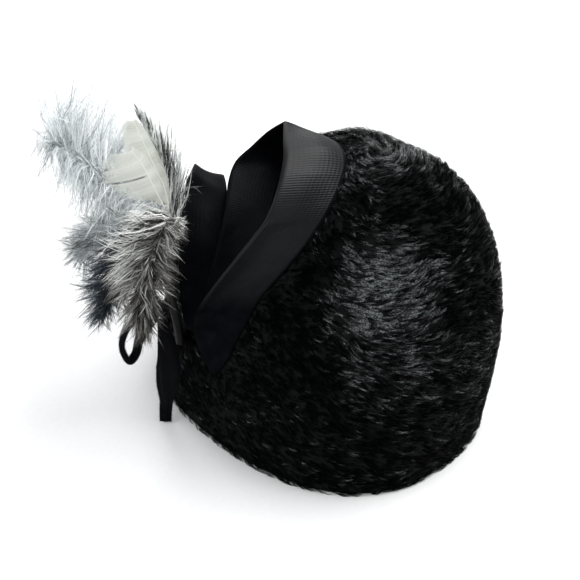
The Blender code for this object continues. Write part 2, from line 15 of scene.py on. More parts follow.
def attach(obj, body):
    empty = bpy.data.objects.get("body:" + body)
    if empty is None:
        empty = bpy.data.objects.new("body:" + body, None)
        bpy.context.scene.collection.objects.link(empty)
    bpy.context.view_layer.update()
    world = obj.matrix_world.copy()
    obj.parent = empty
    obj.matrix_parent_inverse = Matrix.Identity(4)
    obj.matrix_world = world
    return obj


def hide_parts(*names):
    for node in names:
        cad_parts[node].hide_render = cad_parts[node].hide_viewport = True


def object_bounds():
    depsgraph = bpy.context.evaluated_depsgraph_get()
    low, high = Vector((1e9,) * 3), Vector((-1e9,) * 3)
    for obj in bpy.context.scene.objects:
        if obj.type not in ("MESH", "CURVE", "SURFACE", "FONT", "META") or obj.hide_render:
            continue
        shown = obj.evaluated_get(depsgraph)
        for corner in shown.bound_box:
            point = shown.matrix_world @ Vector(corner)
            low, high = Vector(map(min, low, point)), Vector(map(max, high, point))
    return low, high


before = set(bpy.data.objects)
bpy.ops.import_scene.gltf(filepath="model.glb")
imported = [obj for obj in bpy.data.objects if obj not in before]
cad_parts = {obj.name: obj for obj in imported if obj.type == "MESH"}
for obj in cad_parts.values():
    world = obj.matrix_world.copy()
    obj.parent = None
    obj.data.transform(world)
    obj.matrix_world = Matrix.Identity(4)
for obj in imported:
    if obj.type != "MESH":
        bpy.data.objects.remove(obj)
CAD_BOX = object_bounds()

# The crown's lean and the heart that bearings and rises are taken from, as in the part's source.
CROWN_HIGH, CROWN_LEAN, LEAN_POWER = 164.0, 30.0, 1.5
HEART = np.array([0.3 * CROWN_LEAN, 0.0, 0.38 * CROWN_HIGH])
HAT_TURN = math.radians(135)
WHOLE_TURN = 2 * math.pi
# Rays start this far out, and points lower than ON_FLOOR are on the rim.
CLEAR_OF_HAT = 400.0
ON_FLOOR = 0.5

# Directions as seen from the side first looked at, 35 degrees above the floor.
LOOK_DOWN = math.radians(35)
RIGHT = np.array([1.0, 0.0, 0.0])
UPWARD = np.array([0.0, math.sin(LOOK_DOWN), math.cos(LOOK_DOWN)])
FACING = np.array([0.0, -math.cos(LOOK_DOWN), math.sin(LOOK_DOWN)])


def rows_of(parts, field, kind):
    """A field of a mesh's points or triangles as rows of three."""
    flat = np.zeros(len(parts) * 3, kind)
    parts.foreach_get(field, flat)
    return flat.reshape(-1, 3)


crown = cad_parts["crown"].data
crown.calc_loop_triangles()
FELT_FACES = rows_of(crown.loop_triangles, "vertices", np.int32)
FELT_POINTS = rows_of(crown.vertices, "co", float) * 1000
rim = FELT_POINTS[FELT_POINTS[:, 2] < ON_FLOOR]
RIM_MIDDLE = np.array([*(rim.min(0)[:2] + rim.max(0)[:2]) / 2, 0.0])
TURNED = np.array([
    [math.cos(HAT_TURN), -math.sin(HAT_TURN), 0.0],
    [math.sin(HAT_TURN), math.cos(HAT_TURN), 0.0],
    [0.0, 0.0, 1.0],
])


def on_hat(points):
    """From the hatter's axes in millimetres to the model's frame in metres."""
    return (np.asarray(points) @ TURNED.T + RIM_MIDDLE) / 1000


# The felt, on the hatter's axes.
FELT_POINTS = (FELT_POINTS - RIM_MIDDLE) @ TURNED
FELT_TREE = BVHTree.FromPolygons([Vector(p) for p in FELT_POINTS], FELT_FACES.tolist())


def unit(rows):
    rows = np.asarray(rows, float)
    return rows / np.maximum(np.linalg.norm(rows, axis=-1, keepdims=True), 1e-9)


def seen(right, up, facing):
    """A direction given as seen from the side first looked at."""
    return RIGHT * right + UPWARD * up + FACING * facing


def heading(bearing, rise):
    side, up = math.radians(bearing), math.radians(rise)
    return np.array([-math.cos(side) * math.cos(up), -math.sin(side) * math.cos(up), math.sin(up)])


def off_felt(bearing, rise, stand):
    """The point that stands so many millimetres off the felt, seen from the heart."""
    direction = heading(bearing, rise)
    start = Vector(HEART + direction * CLEAR_OF_HAT)
    hit = FELT_TREE.ray_cast(start, Vector(-direction))[0]
    return np.array(hit) + direction * stand


def between(wanted, places, rows):
    """Rows of three numbers, known at some places along a run, read off at the wanted ones."""
    return np.stack([np.interp(wanted, places, rows[:, i]) for i in range(3)], axis=1)


def run_of(path):
    """The length along a path."""
    return np.linalg.norm(np.diff(path, axis=0), axis=1).sum()


FINE_STEPS = 24


def smooth_path(points, steps):
    """Points evenly spread along a smooth curve through the given ones."""
    points = np.asarray(points, float)
    ends = np.vstack([points[0] * 2 - points[1], points, points[-1] * 2 - points[-2]])
    t = np.linspace(0, 1, FINE_STEPS + 1)[:-1, None]
    fine = []
    for i in range(len(points) - 1):
        a, b, c, d = ends[i:i + 4]
        bend = (-a + b * 3 - c * 3 + d) * t ** 3 + (a * 2 - b * 5 + c * 4 - d) * t ** 2 + (c - a) * t + b * 2
        fine.append(bend / 2)
    fine = np.vstack(fine + [points[-1:]])
    lengths = np.concatenate([[0.0], np.cumsum(np.linalg.norm(np.diff(fine, axis=0), axis=1))])
    wanted = np.linspace(0, lengths[-1], steps + 1)
    return between(wanted, lengths, fine)


def spine_of(spots, start, steps):
    """A smooth path through spots that stand off the felt, from a start if there is one."""
    points = [off_felt(*spot) for spot in spots]
    return smooth_path(points if start is None else [start] + points, steps)


WAVES, WAVES_HIGH = 7, 3.2


def ripple(points, wavelength, seed):
    """A smooth wandering value between about -1 and 1 that changes over a wavelength in millimetres."""
    rng = np.random.default_rng(seed)
    total = np.zeros(points.shape[:-1])
    for _ in range(WAVES):
        way = unit(rng.normal(size=3)) * rng.uniform(0.7, 1.4) * WHOLE_TURN / wavelength
        total += np.sin(points @ way + rng.uniform(0, WHOLE_TURN))
    return total / WAVES_HIGH


def linear(code):
    """An sRGB hex colour turned linear."""
    parts = [int(code[i:i + 2], 16) / 255 for i in (1, 3, 5)]
    return tuple(p / 12.92 if p <= 0.04045 else ((p + 0.055) / 1.055) ** 2.4 for p in parts) + (1.0,)


def add(tree, kind, settings, feeds=()):
    """Adds a shader node with its settings, and links each (socket, source) of feeds to it."""
    made = tree.nodes.new("ShaderNode" + kind)
    for name, value in settings.items():
        if name == "stops":
            ramp = made.color_ramp
            while len(ramp.elements) < len(value):
                ramp.elements.new(0.5)
            for element, (position, code) in zip(ramp.elements, value):
                element.position = position
                element.color = linear(code)
        elif isinstance(name, int) or name in made.inputs:
            made.inputs[name].default_value = value
        else:
            setattr(made, name, value)
    for socket, source in feeds:
        tree.links.new(source, made.inputs[socket])
    return made


def new_finish(name, rough, silk, more=None):
    """A material with its tree and its shader, which is so rough and so silky."""
    finish = bpy.data.materials.new(name)
    finish.use_nodes = True
    tree = finish.node_tree
    made = tree.nodes["Principled BSDF"]
    constants = {"Roughness": rough, "IOR": 1.5, "Specular IOR Level": silk, **(more or {})}
    for socket, value in constants.items():
        made.inputs[socket].default_value = value
    return finish, tree, made


def shade_of(tree):
    """The shade that a piece carries at its points."""
    return add(tree, "Attribute", {"attribute_name": "shade"}).outputs["Fac"]


def grain(tree, scale, detail):
    """A noise through the object's own space, with about scale grains a metre."""
    place = add(tree, "TexCoord", {})
    settings = {"Scale": scale, "Detail": detail}
    return add(tree, "TexNoise", settings, [("Vector", place.outputs["Object"])]).outputs["Fac"]


def colour_by(tree, made, value, stops):
    """Colours a shader by a value, through stops from dark to light."""
    ramp = add(tree, "ValToRGB", {"stops": stops}, [("Fac", value)])
    tree.links.new(ramp.outputs["Color"], made.inputs["Base Color"])


def raise_by(tree, made, value, strength, high):
    """Bumps a shader's surface by a value, high metres at most."""
    bump = add(tree, "Bump", {"Strength": strength, "Distance": high}, [("Height", value)])
    tree.links.new(bump.outputs["Normal"], made.inputs["Normal"])


def shine_by(tree, made, value, settings):
    """Sets how silky a shader is by a value, mapped from one range to another."""
    silk = add(tree, "MapRange", settings, [("Value", value)])
    tree.links.new(silk.outputs["Result"], made.inputs["Specular IOR Level"])


def strand_finish(name, stops, rough, silk, sheen, speckle):
    """Strands of hair or barbs: each takes its colour from its shade, root to tip, with small differences."""
    finish, tree, made = new_finish(name, rough, silk, {"Sheen Weight": sheen, "Sheen Roughness": 0.5})
    spread = add(tree, "Math", {"operation": "MULTIPLY_ADD", 1: speckle, 2: -speckle / 2},
                 [(0, grain(tree, 900.0, 2.0))])
    total = add(tree, "Math", {"operation": "ADD", "use_clamp": True},
                [(0, shade_of(tree)), (1, spread.outputs[0])])
    colour_by(tree, made, total.outputs[0], stops)
    return finish


def nap_finish():
    """Combed beaver nap: near black, lightened and made silkier by the painted highlights in its shade, and
    finely flecked.
    """
    finish, tree, made = new_finish("beaver_nap", 0.38, 0.5, {"IOR": 1.55})
    flecks = {"From Min": 0.36, "From Max": 0.64, "To Min": 0.5, "To Max": 1.6}
    fleck = add(tree, "MapRange", flecks, [("Value", grain(tree, 1100.0, 2.0))])
    flecked = add(tree, "Math", {"operation": "MULTIPLY"},
                  [(0, shade_of(tree)), (1, fleck.outputs["Result"])]).outputs[0]
    colour_by(tree, made, flecked, [(0.0, "#010202"), (0.3, "#030404"), (0.6, "#1a1e1f"), (1.0, "#868e90")])
    shine_by(tree, made, flecked, {"From Min": 0.12, "From Max": 0.9, "To Min": 0.008, "To Max": 0.95})
    return finish


def felt_finish():
    """Fur felt under the nap: matted black rabbit fur, dull, with a short tangled tooth of about 0.4 mm."""
    finish, tree, made = new_finish("fur_felt", 0.9, 0.12)
    tooth = grain(tree, 2500.0, 4.0)
    colour_by(tree, made, tooth, [(0.35, "#050606"), (0.7, "#0f1111")])
    raise_by(tree, made, tooth, 0.6, 0.0004)
    return finish


def grosgrain_finish():
    """Black rayon grosgrain: fine warp threads over the ribs, with a painted sheen: silkier high up on the
    near half, where the light falls.
    """
    finish, tree, made = new_finish("rayon_grosgrain", 0.4, 0.5)
    shine_by(tree, made, shade_of(tree), {"To Min": 0.004, "To Max": 0.24})
    cut = add(tree, "UVMap", {"uv_map": "cut"}).outputs["UV"]
    threads = {"bands_direction": "Y", "Scale": 0.16, "Distortion": 0.6, "Detail": 1.0}
    warp = add(tree, "TexWave", threads, [("Vector", cut)]).outputs["Fac"]
    cloud = add(tree, "TexNoise", {"Scale": 0.09, "Detail": 3.0}, [("Vector", cut)])
    mixed = add(tree, "Math", {"operation": "MULTIPLY_ADD", 1: 0.08},
                [(0, warp), (2, cloud.outputs["Fac"])])
    colour_by(tree, made, mixed.outputs[0], [(0.25, "#050608"), (0.5, "#08090c"), (0.8, "#0f1114")])
    raise_by(tree, made, warp, 0.25, 0.0002)
    return finish


def velvet_finish():
    """Black silk velvet: a deep pile that goes darkest face on and catches light at its folds and edges."""
    finish, tree, made = new_finish("silk_velvet", 0.95, 0.05, {
        "Sheen Weight": 0.35, "Sheen Roughness": 0.3, "Sheen Tint": linear("#8f949c"),
    })
    pile = grain(tree, 1800.0, 3.0)
    colour_by(tree, made, pile, [(0.3, "#030304"), (0.75, "#0e0f12")])
    raise_by(tree, made, pile, 0.5, 0.0004)
    return finish


def thread_finish():
    """Waxed black cotton thread: dull, with fibres a little lighter than the dye between them."""
    finish, tree, made = new_finish("waxed_thread", 0.6, 0.3)
    colour_by(tree, made, grain(tree, 1400.0, 3.0), [(0.3, "#070707"), (0.7, "#1a1a1b")])
    return finish


def floor_finish():
    """Matte white paper sweep: even and pale, with a trace of tooth."""
    finish, tree, made = new_finish("paper_sweep", 0.9, 0.1, {"IOR": 1.45})
    colour_by(tree, made, grain(tree, 300.0, 2.0), [(0.0, "#f6f6f6"), (1.0, "#fcfcfc")])
    return finish


def new_item(name, data):
    """An object in the scene."""
    item = bpy.data.objects.new(name, data)
    bpy.context.scene.collection.objects.link(item)
    return item


def make_piece(name, points, faces, finish, node=None, shade=None, cut=None):
    """A mesh object from rows of points in millimetres and rows of corners, riding with the hat."""
    faces = np.asarray(faces, np.int32)
    across = faces.shape[1]
    mesh = bpy.data.meshes.new(name)
    mesh.vertices.add(len(points))
    mesh.vertices.foreach_set("co", on_hat(points).astype(np.float32).ravel())
    mesh.loops.add(faces.size)
    mesh.loops.foreach_set("vertex_index", faces.ravel())
    mesh.polygons.add(len(faces))
    mesh.polygons.foreach_set("loop_start", np.arange(0, faces.size, across, dtype=np.int32))
    mesh.update(calc_edges=True)
    mesh.shade_smooth()
    if shade is not None:
        values = mesh.attributes.new("shade", "FLOAT", "POINT").data
        values.foreach_set("value", shade.astype(np.float32).ravel())
    if cut is not None:
        places = mesh.uv_layers.new(name="cut").data
        places.foreach_set("uv", cut[faces.ravel()].astype(np.float32).ravel())
    mesh.materials.append(finish)
    item = new_item(name, mesh)
    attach(item, "root")
    if node:
        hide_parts(node)
    return item


LAST_WIDTH = 0.45


def strips(paths, halves, facing):
    """Strips that taper to a point, from paths (strands, steps, 3), half widths and facings a strand.

    Returns the points, the triangles and each point's share from root to tip.
    """
    count, steps, _ = paths.shape
    along = np.gradient(paths, axis=1)
    side = unit(np.cross(along, facing[:, None, :]))
    taper = np.linspace(1.0, LAST_WIDTH, steps - 1)[None, :, None]
    reach = side[:, :-1] * halves[:, None, None] * taper
    pairs = np.stack([paths[:, :-1] - reach, paths[:, :-1] + reach], axis=2).reshape(count, -1, 3)
    points = np.concatenate([pairs, paths[:, -1:]], axis=1)
    faces = []
    for j in range(steps - 2):
        faces += [(2 * j, 2 * j + 1, 2 * j + 3), (2 * j, 2 * j + 3, 2 * j + 2)]
    last = 2 * (steps - 2)
    faces.append((last, last + 1, last + 2))
    faces = np.array(faces)[None] + (np.arange(count) * points.shape[1])[:, None, None]
    share = np.repeat(np.linspace(0, 1, steps), 2)[:-1]
    return points.reshape(-1, 3), faces.reshape(-1, 3), np.tile(share, (count, 1))


def skin(rings):
    """Faces over rings of points (rings, around), closed round and filled at both ends."""
    count, around = rings.shape[:2]
    index = np.arange(count * around).reshape(count, around)
    after = np.roll(index, -1, axis=1)
    first, last = np.full(around, count * around), np.full(around, count * around + 1)
    quads = np.vstack([
        np.stack([index[:-1], after[:-1], after[1:], index[1:]], axis=-1).reshape(-1, 4),
        np.stack([after[0], index[0], first, first], axis=-1),
        np.stack([index[-1], after[-1], last, last], axis=-1),
    ])
    points = np.vstack([rings.reshape(-1, 3), rings[0].mean(0), rings[-1].mean(0)])
    return points, np.vstack([quads[:, [0, 1, 2]], quads[quads[:, 2] != quads[:, 3]][:, [0, 2, 3]]])


def frames_along(path, first_side):
    """A side and an up direction at each point of a path, turned as little as possible along it."""
    tangent = unit(np.gradient(path, axis=0))
    sides = []
    side = np.asarray(first_side, float)
    for t in tangent:
        side = unit(side - t * side.dot(t))
        sides.append(side)
    return np.array(sides), np.cross(tangent, np.array(sides))


# A face whose direction has less height than this is the rim's underside.
UNDERSIDE = -0.9


def outer_felt():
    """The crown's outer faces, a smooth way out of it at each corner, and each face's weight by area."""
    a, b, c = (FELT_POINTS[FELT_FACES[:, i]] for i in range(3))
    across = np.cross(b - a, c - a)
    middle = (a + b + c) / 3
    outside = (np.einsum("ij,ij->i", across, middle - HEART) > 0) & (unit(across)[:, 2] > UNDERSIDE)
    _, welded = np.unique(np.round(FELT_POINTS, 2), axis=0, return_inverse=True)
    welded = welded.reshape(-1)
    total = np.zeros((welded.max() + 1, 3))
    for i in range(3):
        np.add.at(total, welded[FELT_FACES[outside, i]], across[outside])
    return FELT_FACES[outside], unit(total)[welded], np.linalg.norm(across[outside], axis=1)


def crown_felt():
    """The felt body: the crown's own shape, joined at its corners and rounded once."""
    points, welded = np.unique(np.round(FELT_POINTS, 3), axis=0, return_inverse=True)
    faces = welded.reshape(-1)[FELT_FACES]
    item = make_piece("felt_body", points, faces, felt_finish(), "crown")
    rounding = item.modifiers.new("rounded", "SUBSURF")
    rounding.levels = rounding.render_levels = 1
    bpy.context.view_layer.objects.active = item
    bpy.ops.object.modifier_apply(modifier=rounding.name)


# Painted highlights and painted shade on the nap, where it catches the light or lies dull: bearing, rise,
# reach in degrees, and how glossy it is, which lightens its colour (below zero, darkens it).
PAINTED_GLOSS = [
    (104, 46, 15, 1.0), (94, 32, 12, 0.9), (118, 36, 12, 0.45), (150, 78, 12, 0.8),
    (-160, 66, 16, 0.6), (110, 14, 16, 0.55), (92, 8, 12, 0.35), (162, 24, 10, 0.4),
    (80, 74, 10, 0.25), (140, 2, 18, 0.3), (-110, 45, 25, 0.6), (-50, 40, 25, 0.5),
    (-150, 25, 22, 0.5), (-80, 12, 25, 0.45), (135, 58, 10, -0.7), (70, 40, 12, -0.5),
    (70, 10, 16, -0.6),
]
# Where the nap stands thicker, in mm: the shoulder at the back right.
LOFT = [(206, 34, 26, 3.0), (232, 56, 24, 3.6)]
NAP_LONG = 6.8
NAP_LIFT = 11.0
CLUMP_HALF = 0.78
STRANDS_A_CLUMP = 7
NAP_PIECES = 3
CLUMPS = 8200
NAP_STEPS = 3
STRAND_HALVES = (0.08, 0.17)
ROOT_SUNK = 0.5
# The nap lies flat below the first height and stands up more from the second one on, over so many mm.
FLAT_BELOW, STANDS_FROM, STANDS_OVER = 40, 120, 35
# How far off a ribbon still presses the nap down, and the room where there is none.
PRESSED_UNDER, FREE_ROOM = 14.0, 99.0


def patches_at(points, patches):
    """The sum of soft round patches at each point, seen from the heart."""
    out = unit(points - HEART)
    total = np.zeros(len(points))
    for bearing, rise, reach, strength in patches:
        apart = np.degrees(np.arccos(np.clip(out @ heading(bearing, rise), -1, 1)))
        total += strength * np.exp(-((apart / reach) ** 2))
    return total


def nap_piece(number, shell, ribbons, finish):
    """One third of the nap: CLUMPS of strands combed round the crown, pressed down under the ribbons."""
    faces, outs, areas = shell
    rng = np.random.default_rng(100 + number)
    chosen = rng.choice(len(faces), CLUMPS, p=areas / areas.sum())
    weight = rng.dirichlet((1, 1, 1), CLUMPS)
    corners = FELT_POINTS[faces[chosen]]
    centre = np.einsum("ni,nij->nj", weight, corners)
    out = unit(np.einsum("ni,nij->nj", weight, outs[faces[chosen]]))
    centre = centre + out * (patches_at(centre, LOFT) * rng.uniform(0, 1, CLUMPS) ** 0.5)[:, None]
    axis = np.zeros_like(centre)
    axis[:, 0] = CROWN_LEAN * np.clip(centre[:, 2] / CROWN_HIGH, 0, 1) ** LEAN_POWER
    axis[:, 2] = centre[:, 2]
    around = np.cross([0, 0, 1.0], unit(centre - axis))
    comb = unit(around - out * np.einsum("ij,ij->i", around, out)[:, None])
    slope = unit(np.cross(out, comb))
    swirl = 0.35 * ripple(centre, 75, 1) + 0.3 * ripple(centre, 24, 2)
    swirl = swirl + rng.normal(0, 0.13, CLUMPS) - 0.08
    comb, slope = (
        comb * np.cos(swirl)[:, None] + slope * np.sin(swirl)[:, None],
        slope * np.cos(swirl)[:, None] - comb * np.sin(swirl)[:, None],
    )
    room = np.full(CLUMPS, FREE_ROOM)
    for i in range(CLUMPS):
        for tree in ribbons:
            hit = tree.ray_cast(Vector(centre[i]), Vector(out[i]), PRESSED_UNDER)
            if hit[0] is not None:
                room[i] = min(room[i], hit[3])
    length = NAP_LONG * rng.uniform(0.7, 1.25, CLUMPS) * (1 + 0.18 * ripple(centre, 18, 3))
    lift = np.radians(NAP_LIFT * (1 + 0.35 * ripple(centre, 30, 4)) * rng.uniform(0.6, 1.4, CLUMPS))
    upper = np.clip((centre[:, 2] - STANDS_FROM) / STANDS_OVER, 0, 1)
    lift *= np.clip(centre[:, 2] / FLAT_BELOW, 0.2, 1) + 0.4 * upper
    height = np.minimum(length * np.sin(lift), np.maximum(room * 0.5 - 0.8, 0.1))
    tip = centre + comb * (length * np.cos(lift))[:, None] + out * height[:, None]

    count = CLUMPS * STRANDS_A_CLUMP
    owner = np.repeat(np.arange(CLUMPS), STRANDS_A_CLUMP)
    spot = rng.normal(0, CLUMP_HALF * 0.7, (count, 2))
    aside = comb[owner] * spot[:, :1] + slope[owner] * spot[:, 1:]
    root = centre[owner] + aside - out[owner] * ROOT_SUNK
    end = tip[owner] + aside * 0.4
    end += rng.normal(0, 0.3, (count, 3))
    t = np.linspace(0, 1, NAP_STEPS)[None, :, None]
    arch = np.minimum(1.3, np.maximum(room[owner] * 0.3 - 0.5, 0.1))[:, None, None]
    wave = rng.normal(0, 0.35, (count, 1, 1)) * np.sin(math.pi * t * 1.5)
    paths = root[:, None] * (1 - t) + end[:, None] * t
    paths += out[owner][:, None] * (arch * 4 * t * (1 - t)) + slope[owner][:, None] * wave
    paths[:, :, 2] = np.maximum(paths[:, :, 2], 0.3)
    roll = rng.normal(0, 0.55, (count, 1))
    facing = unit(out[owner] * np.cos(roll) + slope[owner] * np.sin(roll))
    points, triangles, share = strips(paths, rng.uniform(*STRAND_HALVES, count), facing)
    # Painted highlights: the nap is lightened in the patches where the light falls on it, and darker towards
    # its roots.
    painted_gloss = patches_at(centre, PAINTED_GLOSS) - 0.12 + 0.28 * ripple(centre, 16, 5)
    painted_gloss = painted_gloss + rng.normal(0, 0.34, CLUMPS)
    painted_tint = np.clip(painted_gloss[owner] + rng.normal(0, 0.18, count), 0, 1)[:, None] ** 1.7
    shade = painted_tint * (0.25 + 0.75 * share)
    make_piece(f"nap_{number}", points, triangles, finish, shade=shade)


# A row's low edge and free edge, each bearing, rise and stand off the felt, then how far the row bows out.
FRONT_LOOP = [
    (37, -9, 1.1, 34, -5, 4, 0.2), (42, 0, 1.1, 31, 3, 9, 1), (45, 11, 1.1, 32, 12, 16, 3),
    (48, 21, 1.1, 35, 21, 21, 4), (51, 31, 1.2, 41, 32, 25, 4), (57, 40, 1.2, 46, 41, 27, 4),
    (64, 49, 1.2, 51, 49, 29, 3), (72, 58, 1.2, 54, 55, 30, 2), (81, 67, 1.2, 52, 63, 31, 0),
    (91, 75, 1.4, 43, 70, 31, -3), (111, 83, 2.5, 27, 74, 31, -4), (142, 88, 6, -1, 76, 30, -2),
    (-78, 84, 6, -13, 75.5, 28, 0), (-71, 74, 3, -11, 70.5, 26, 0), (-46, 70, 1.4, -6, 65, 24, -1),
    (-5, 71, 1.2, -4, 59, 22, -2), (23, 65, 1.2, 6, 55.5, 21, -2), (34, 57, 1.2, 17, 51, 19, -2),
    (38, 47, 1.2, 24, 44.5, 17, -1), (39, 34, 1.2, 27, 34, 14, 0), (38, 19, 1.1, 27, 23, 10, 0),
    (37, 5, 1.1, 29, 11, 6, 0), (37, -4, 1.1, 33, 0, 2.4, 0),
]
SIDE_LOOP = [
    (32, 4, 1.2, 20, 3, 6, 0.5), (30, 10, 1.2, 18, 9, 9, 1), (27, 20, 1.3, 17, 18, 15, 2),
    (23, 31, 1.4, 16, 27, 22, 3), (15, 40, 2.2, 13, 34, 26, 3), (4, 46, 6, 7, 40, 29, 3),
    (-6, 50, 10, 0, 44, 32, 2), (-12, 50.5, 14, -5, 47, 33, 1), (-17, 48, 13, -12, 46, 31, 0),
    (-21, 41, 8, -18, 38, 25, 0), (-22, 30, 3, -20, 27, 18, 0), (-20, 18, 1.4, -15, 14, 10, 0),
    (-14, 6, 1.2, -8, 4, 3, 0),
]
RIB_APART = 1.4
RIB_HIGH = 0.18
ROWS_A_RIB = 4
ACROSS = 14
RIBBON_HALF_THICK = 0.35
EDGE_STEPS = 400
# How much a strip thins at its selvedges, how soon, and its own slow waves: how high and how long.
SELVEDGE_THIN, SELVEDGE_POWER = 0.55, 8
WAVE_HIGH, WAVE_LONG = 0.5, 46
# A strip's painted sheen rises from this height on, over so many mm, where the light falls, and the strip
# turns far side on between these shares.
SHEEN_PAINTED_FROM, SHEEN_PAINTED_OVER = 95, 50
TURNED_OVER = [0.45, 0.6]


def ribbon_piece(name, rows, node, finish, seed, sheen_by_half):
    """A ribbed strip with rounded selvedges, its painted sheen given by half: near, far. Returns a tree of
    its faces.
    """
    low = smooth_path([off_felt(*row[:3]) for row in rows], EDGE_STEPS)
    free = smooth_path([off_felt(*row[3:6]) for row in rows], EDGE_STEPS)
    length = run_of((low + free) / 2)
    wide = np.linalg.norm(free - low, axis=1).mean()
    count = int(length / RIB_APART) * ROWS_A_RIB
    at, steps = np.linspace(0, EDGE_STEPS, count + 1), np.arange(EDGE_STEPS + 1)
    low, free = between(at, steps, low), between(at, steps, free)
    row_at = np.linspace(0, len(rows) - 1, count + 1)
    belly = np.interp(row_at, np.arange(len(rows)), np.array(rows)[:, 6])
    ahead = np.gradient(low, axis=0) + np.gradient(free, axis=0)
    outward = unit(np.cross(ahead, free - low))
    share = np.linspace(0, 1, ACROSS + 1)
    bow = np.sin(math.pi * share)[None]
    middle = low[:, None] + (free - low)[:, None] * share[None, :, None]
    middle -= outward[:, None] * (belly[:, None] * bow)[:, :, None]
    middle += outward[:, None] * (WAVE_HIGH * ripple(middle, WAVE_LONG, seed) * bow)[:, :, None]
    normal = unit(np.cross(np.gradient(middle, axis=0), np.gradient(middle, axis=1)))
    rib = RIB_HIGH * (0.5 - 0.5 * np.cos(WHOLE_TURN * np.arange(count + 1) / ROWS_A_RIB))
    edge = 1 - SELVEDGE_THIN * np.abs(2 * share - 1)[None] ** SELVEDGE_POWER
    thick = (RIBBON_HALF_THICK + rib)[:, None] * edge
    upper = middle + normal * thick[:, :, None]
    lower = middle - normal * thick[:, :, None]
    points, triangles = skin(np.concatenate([upper, lower[:, ::-1]], axis=1))
    ring_cut = np.concatenate([share, share[::-1]]) * wide
    along = np.arange(count + 1) * RIB_APART / ROWS_A_RIB
    cut = np.stack(np.meshgrid(along, ring_cut, indexing="ij"), axis=-1).reshape(-1, 2)
    cut = np.vstack([cut, [0, wide / 2], [along[-1], wide / 2]])
    # Painted sheen: the strip is made silkier high up and on its near half, where the light falls, and less
    # so on the far half, which is in shade.
    painted_sheen = np.clip((points[:, 2] - SHEEN_PAINTED_FROM) / SHEEN_PAINTED_OVER, 0, 1)
    painted_sheen = painted_sheen * np.interp(cut[:, 0] / along[-1], TURNED_OVER, sheen_by_half)
    item = make_piece(name, points, triangles, finish, node, shade=painted_sheen, cut=cut)
    return BVHTree.FromPolygons([Vector(p) for p in points], triangles.tolist())


# The stalk, the tie's loop (on the part's own route) and its fall, as bearing, rise and stand off the felt.
STALK = [(16, -6, 3.0), (16, 3, 8), (18, 14, 18), (20, 25, 29), (22, 33, 36)]
STALK_HALF, STALK_HEAD_HALF = 2.6, 4.4
# The knot's place as a share of the stalk, its half width, the gap beside it and the gap at a feather's root.
KNOT_ALONG, KNOT_HALF, TOUCH_GAP, ROOT_CLEAR = 0.42, 5.4, 0.4, 0.8
TIE_LOOP = [(19, 9, 35), (19, 5, 41), (18, -1, 41), (18, -6, 36), (17, -5, 31), (16, 0, 28.5)]
TIE_FALL = [(25, -4, 19), (24, -13, 17), (22.5, -20, 15.5), (21, -24.5, 15), (21, -28.8, 16)]
LOOP_WIDE = 5.5
LOOP_HALF_THICK = 1.8
LOOP_STEPS, FALL_STEPS = 90, 110
FALL_HALVES = [2.4, 4.9, 6.6, 5.6, 3.5, 3.2]
FALL_HALF_THICKS = [1.8, 2.0, 2.1, 1.5, 0.9, 0.9]
# The stalk's rings: how many there are, how many a turn of thread takes, and how high the thread stands.
STALK_STEPS, RINGS_A_TURN, THREAD_HIGH = 260, 4.0, 0.16
HEAD_ROUNDING = np.radians([15, 30, 45, 58, 70, 80])


def tube_rings(path, wide, thick, first_side, around=20, folds=0.0, fold_count=3, twist=0.0):
    """Rings of an oval tube along a path, with soft lengthwise folds."""
    side, up = frames_along(path, first_side)
    turn = WHOLE_TURN * np.arange(around) / around
    along = np.linspace(0, 1, len(path))
    folded = 1 + folds * np.cos(fold_count * turn[None] + WHOLE_TURN * twist * along[:, None])
    cos, sin = np.cos(turn)[None] * folded, np.sin(turn)[None] * folded
    rings = path[:, None] + side[:, None] * (cos * np.asarray(wide)[:, None])[:, :, None]
    return rings + up[:, None] * (sin * np.asarray(thick)[:, None])[:, :, None]


def stalk_piece(finish):
    """The bound quills, wound with thread and opening into a rounded head; returns their middle line."""
    coarse = spine_of(STALK, None, 12)
    head = unit(coarse[-1] - coarse[-2])
    path = smooth_path(coarse, STALK_STEPS)
    share = np.linspace(0, 1, len(path))
    half = STALK_HALF + (STALK_HEAD_HALF - STALK_HALF) * np.maximum(share * 2 - 1, 0)
    path = np.vstack([path, path[-1] + head * (STALK_HEAD_HALF * np.sin(HEAD_ROUNDING))[:, None]])
    half = np.concatenate([half, STALK_HEAD_HALF * np.cos(HEAD_ROUNDING)]) - 0.1
    around = 16
    turn = WHOLE_TURN * np.arange(around) / around
    thread = THREAD_HIGH * np.cos(WHOLE_TURN * np.arange(len(path)) / RINGS_A_TURN)
    wound = thread[:, None] + 0.05 * np.cos(turn)[None]
    rings = tube_rings(path, half, half, (0, 1, 0), around)
    rings += unit(rings - path[:, None]) * wound[:, :, None]
    points, triangles = skin(rings)
    make_piece("bound_stalk", points, triangles, finish, "quill_stalk")
    return coarse


PILE_HALF, PILE_LONG, PILE_SUNK = 0.05, (0.6, 1.2), 0.15
TUFTS_A_POINT = 2


def velvet_pile(name, rings, finish, node, seed):
    """Short pile standing off a velvet strip, so that its outline is soft."""
    rng = np.random.default_rng(seed)
    middle = rings.mean(axis=1, keepdims=True)
    out = unit(rings - middle)
    feet = np.repeat((rings - out * PILE_SUNK).reshape(-1, 3), TUFTS_A_POINT, axis=0)
    out = np.repeat(out.reshape(-1, 3), TUFTS_A_POINT, axis=0)
    feet = feet + rng.normal(0, 0.25, feet.shape)
    long = rng.uniform(*PILE_LONG, (len(feet), 1))
    lean = unit(out + rng.normal(0, 0.45, out.shape) + np.array([0, 0, -0.4]))
    across = unit(np.cross(lean, rng.normal(0, 1, out.shape))) * PILE_HALF
    points = np.stack([feet - across, feet + across, feet + lean * long], axis=1).reshape(-1, 3)
    return make_piece(name, points, np.arange(len(points)).reshape(-1, 3), finish, node)


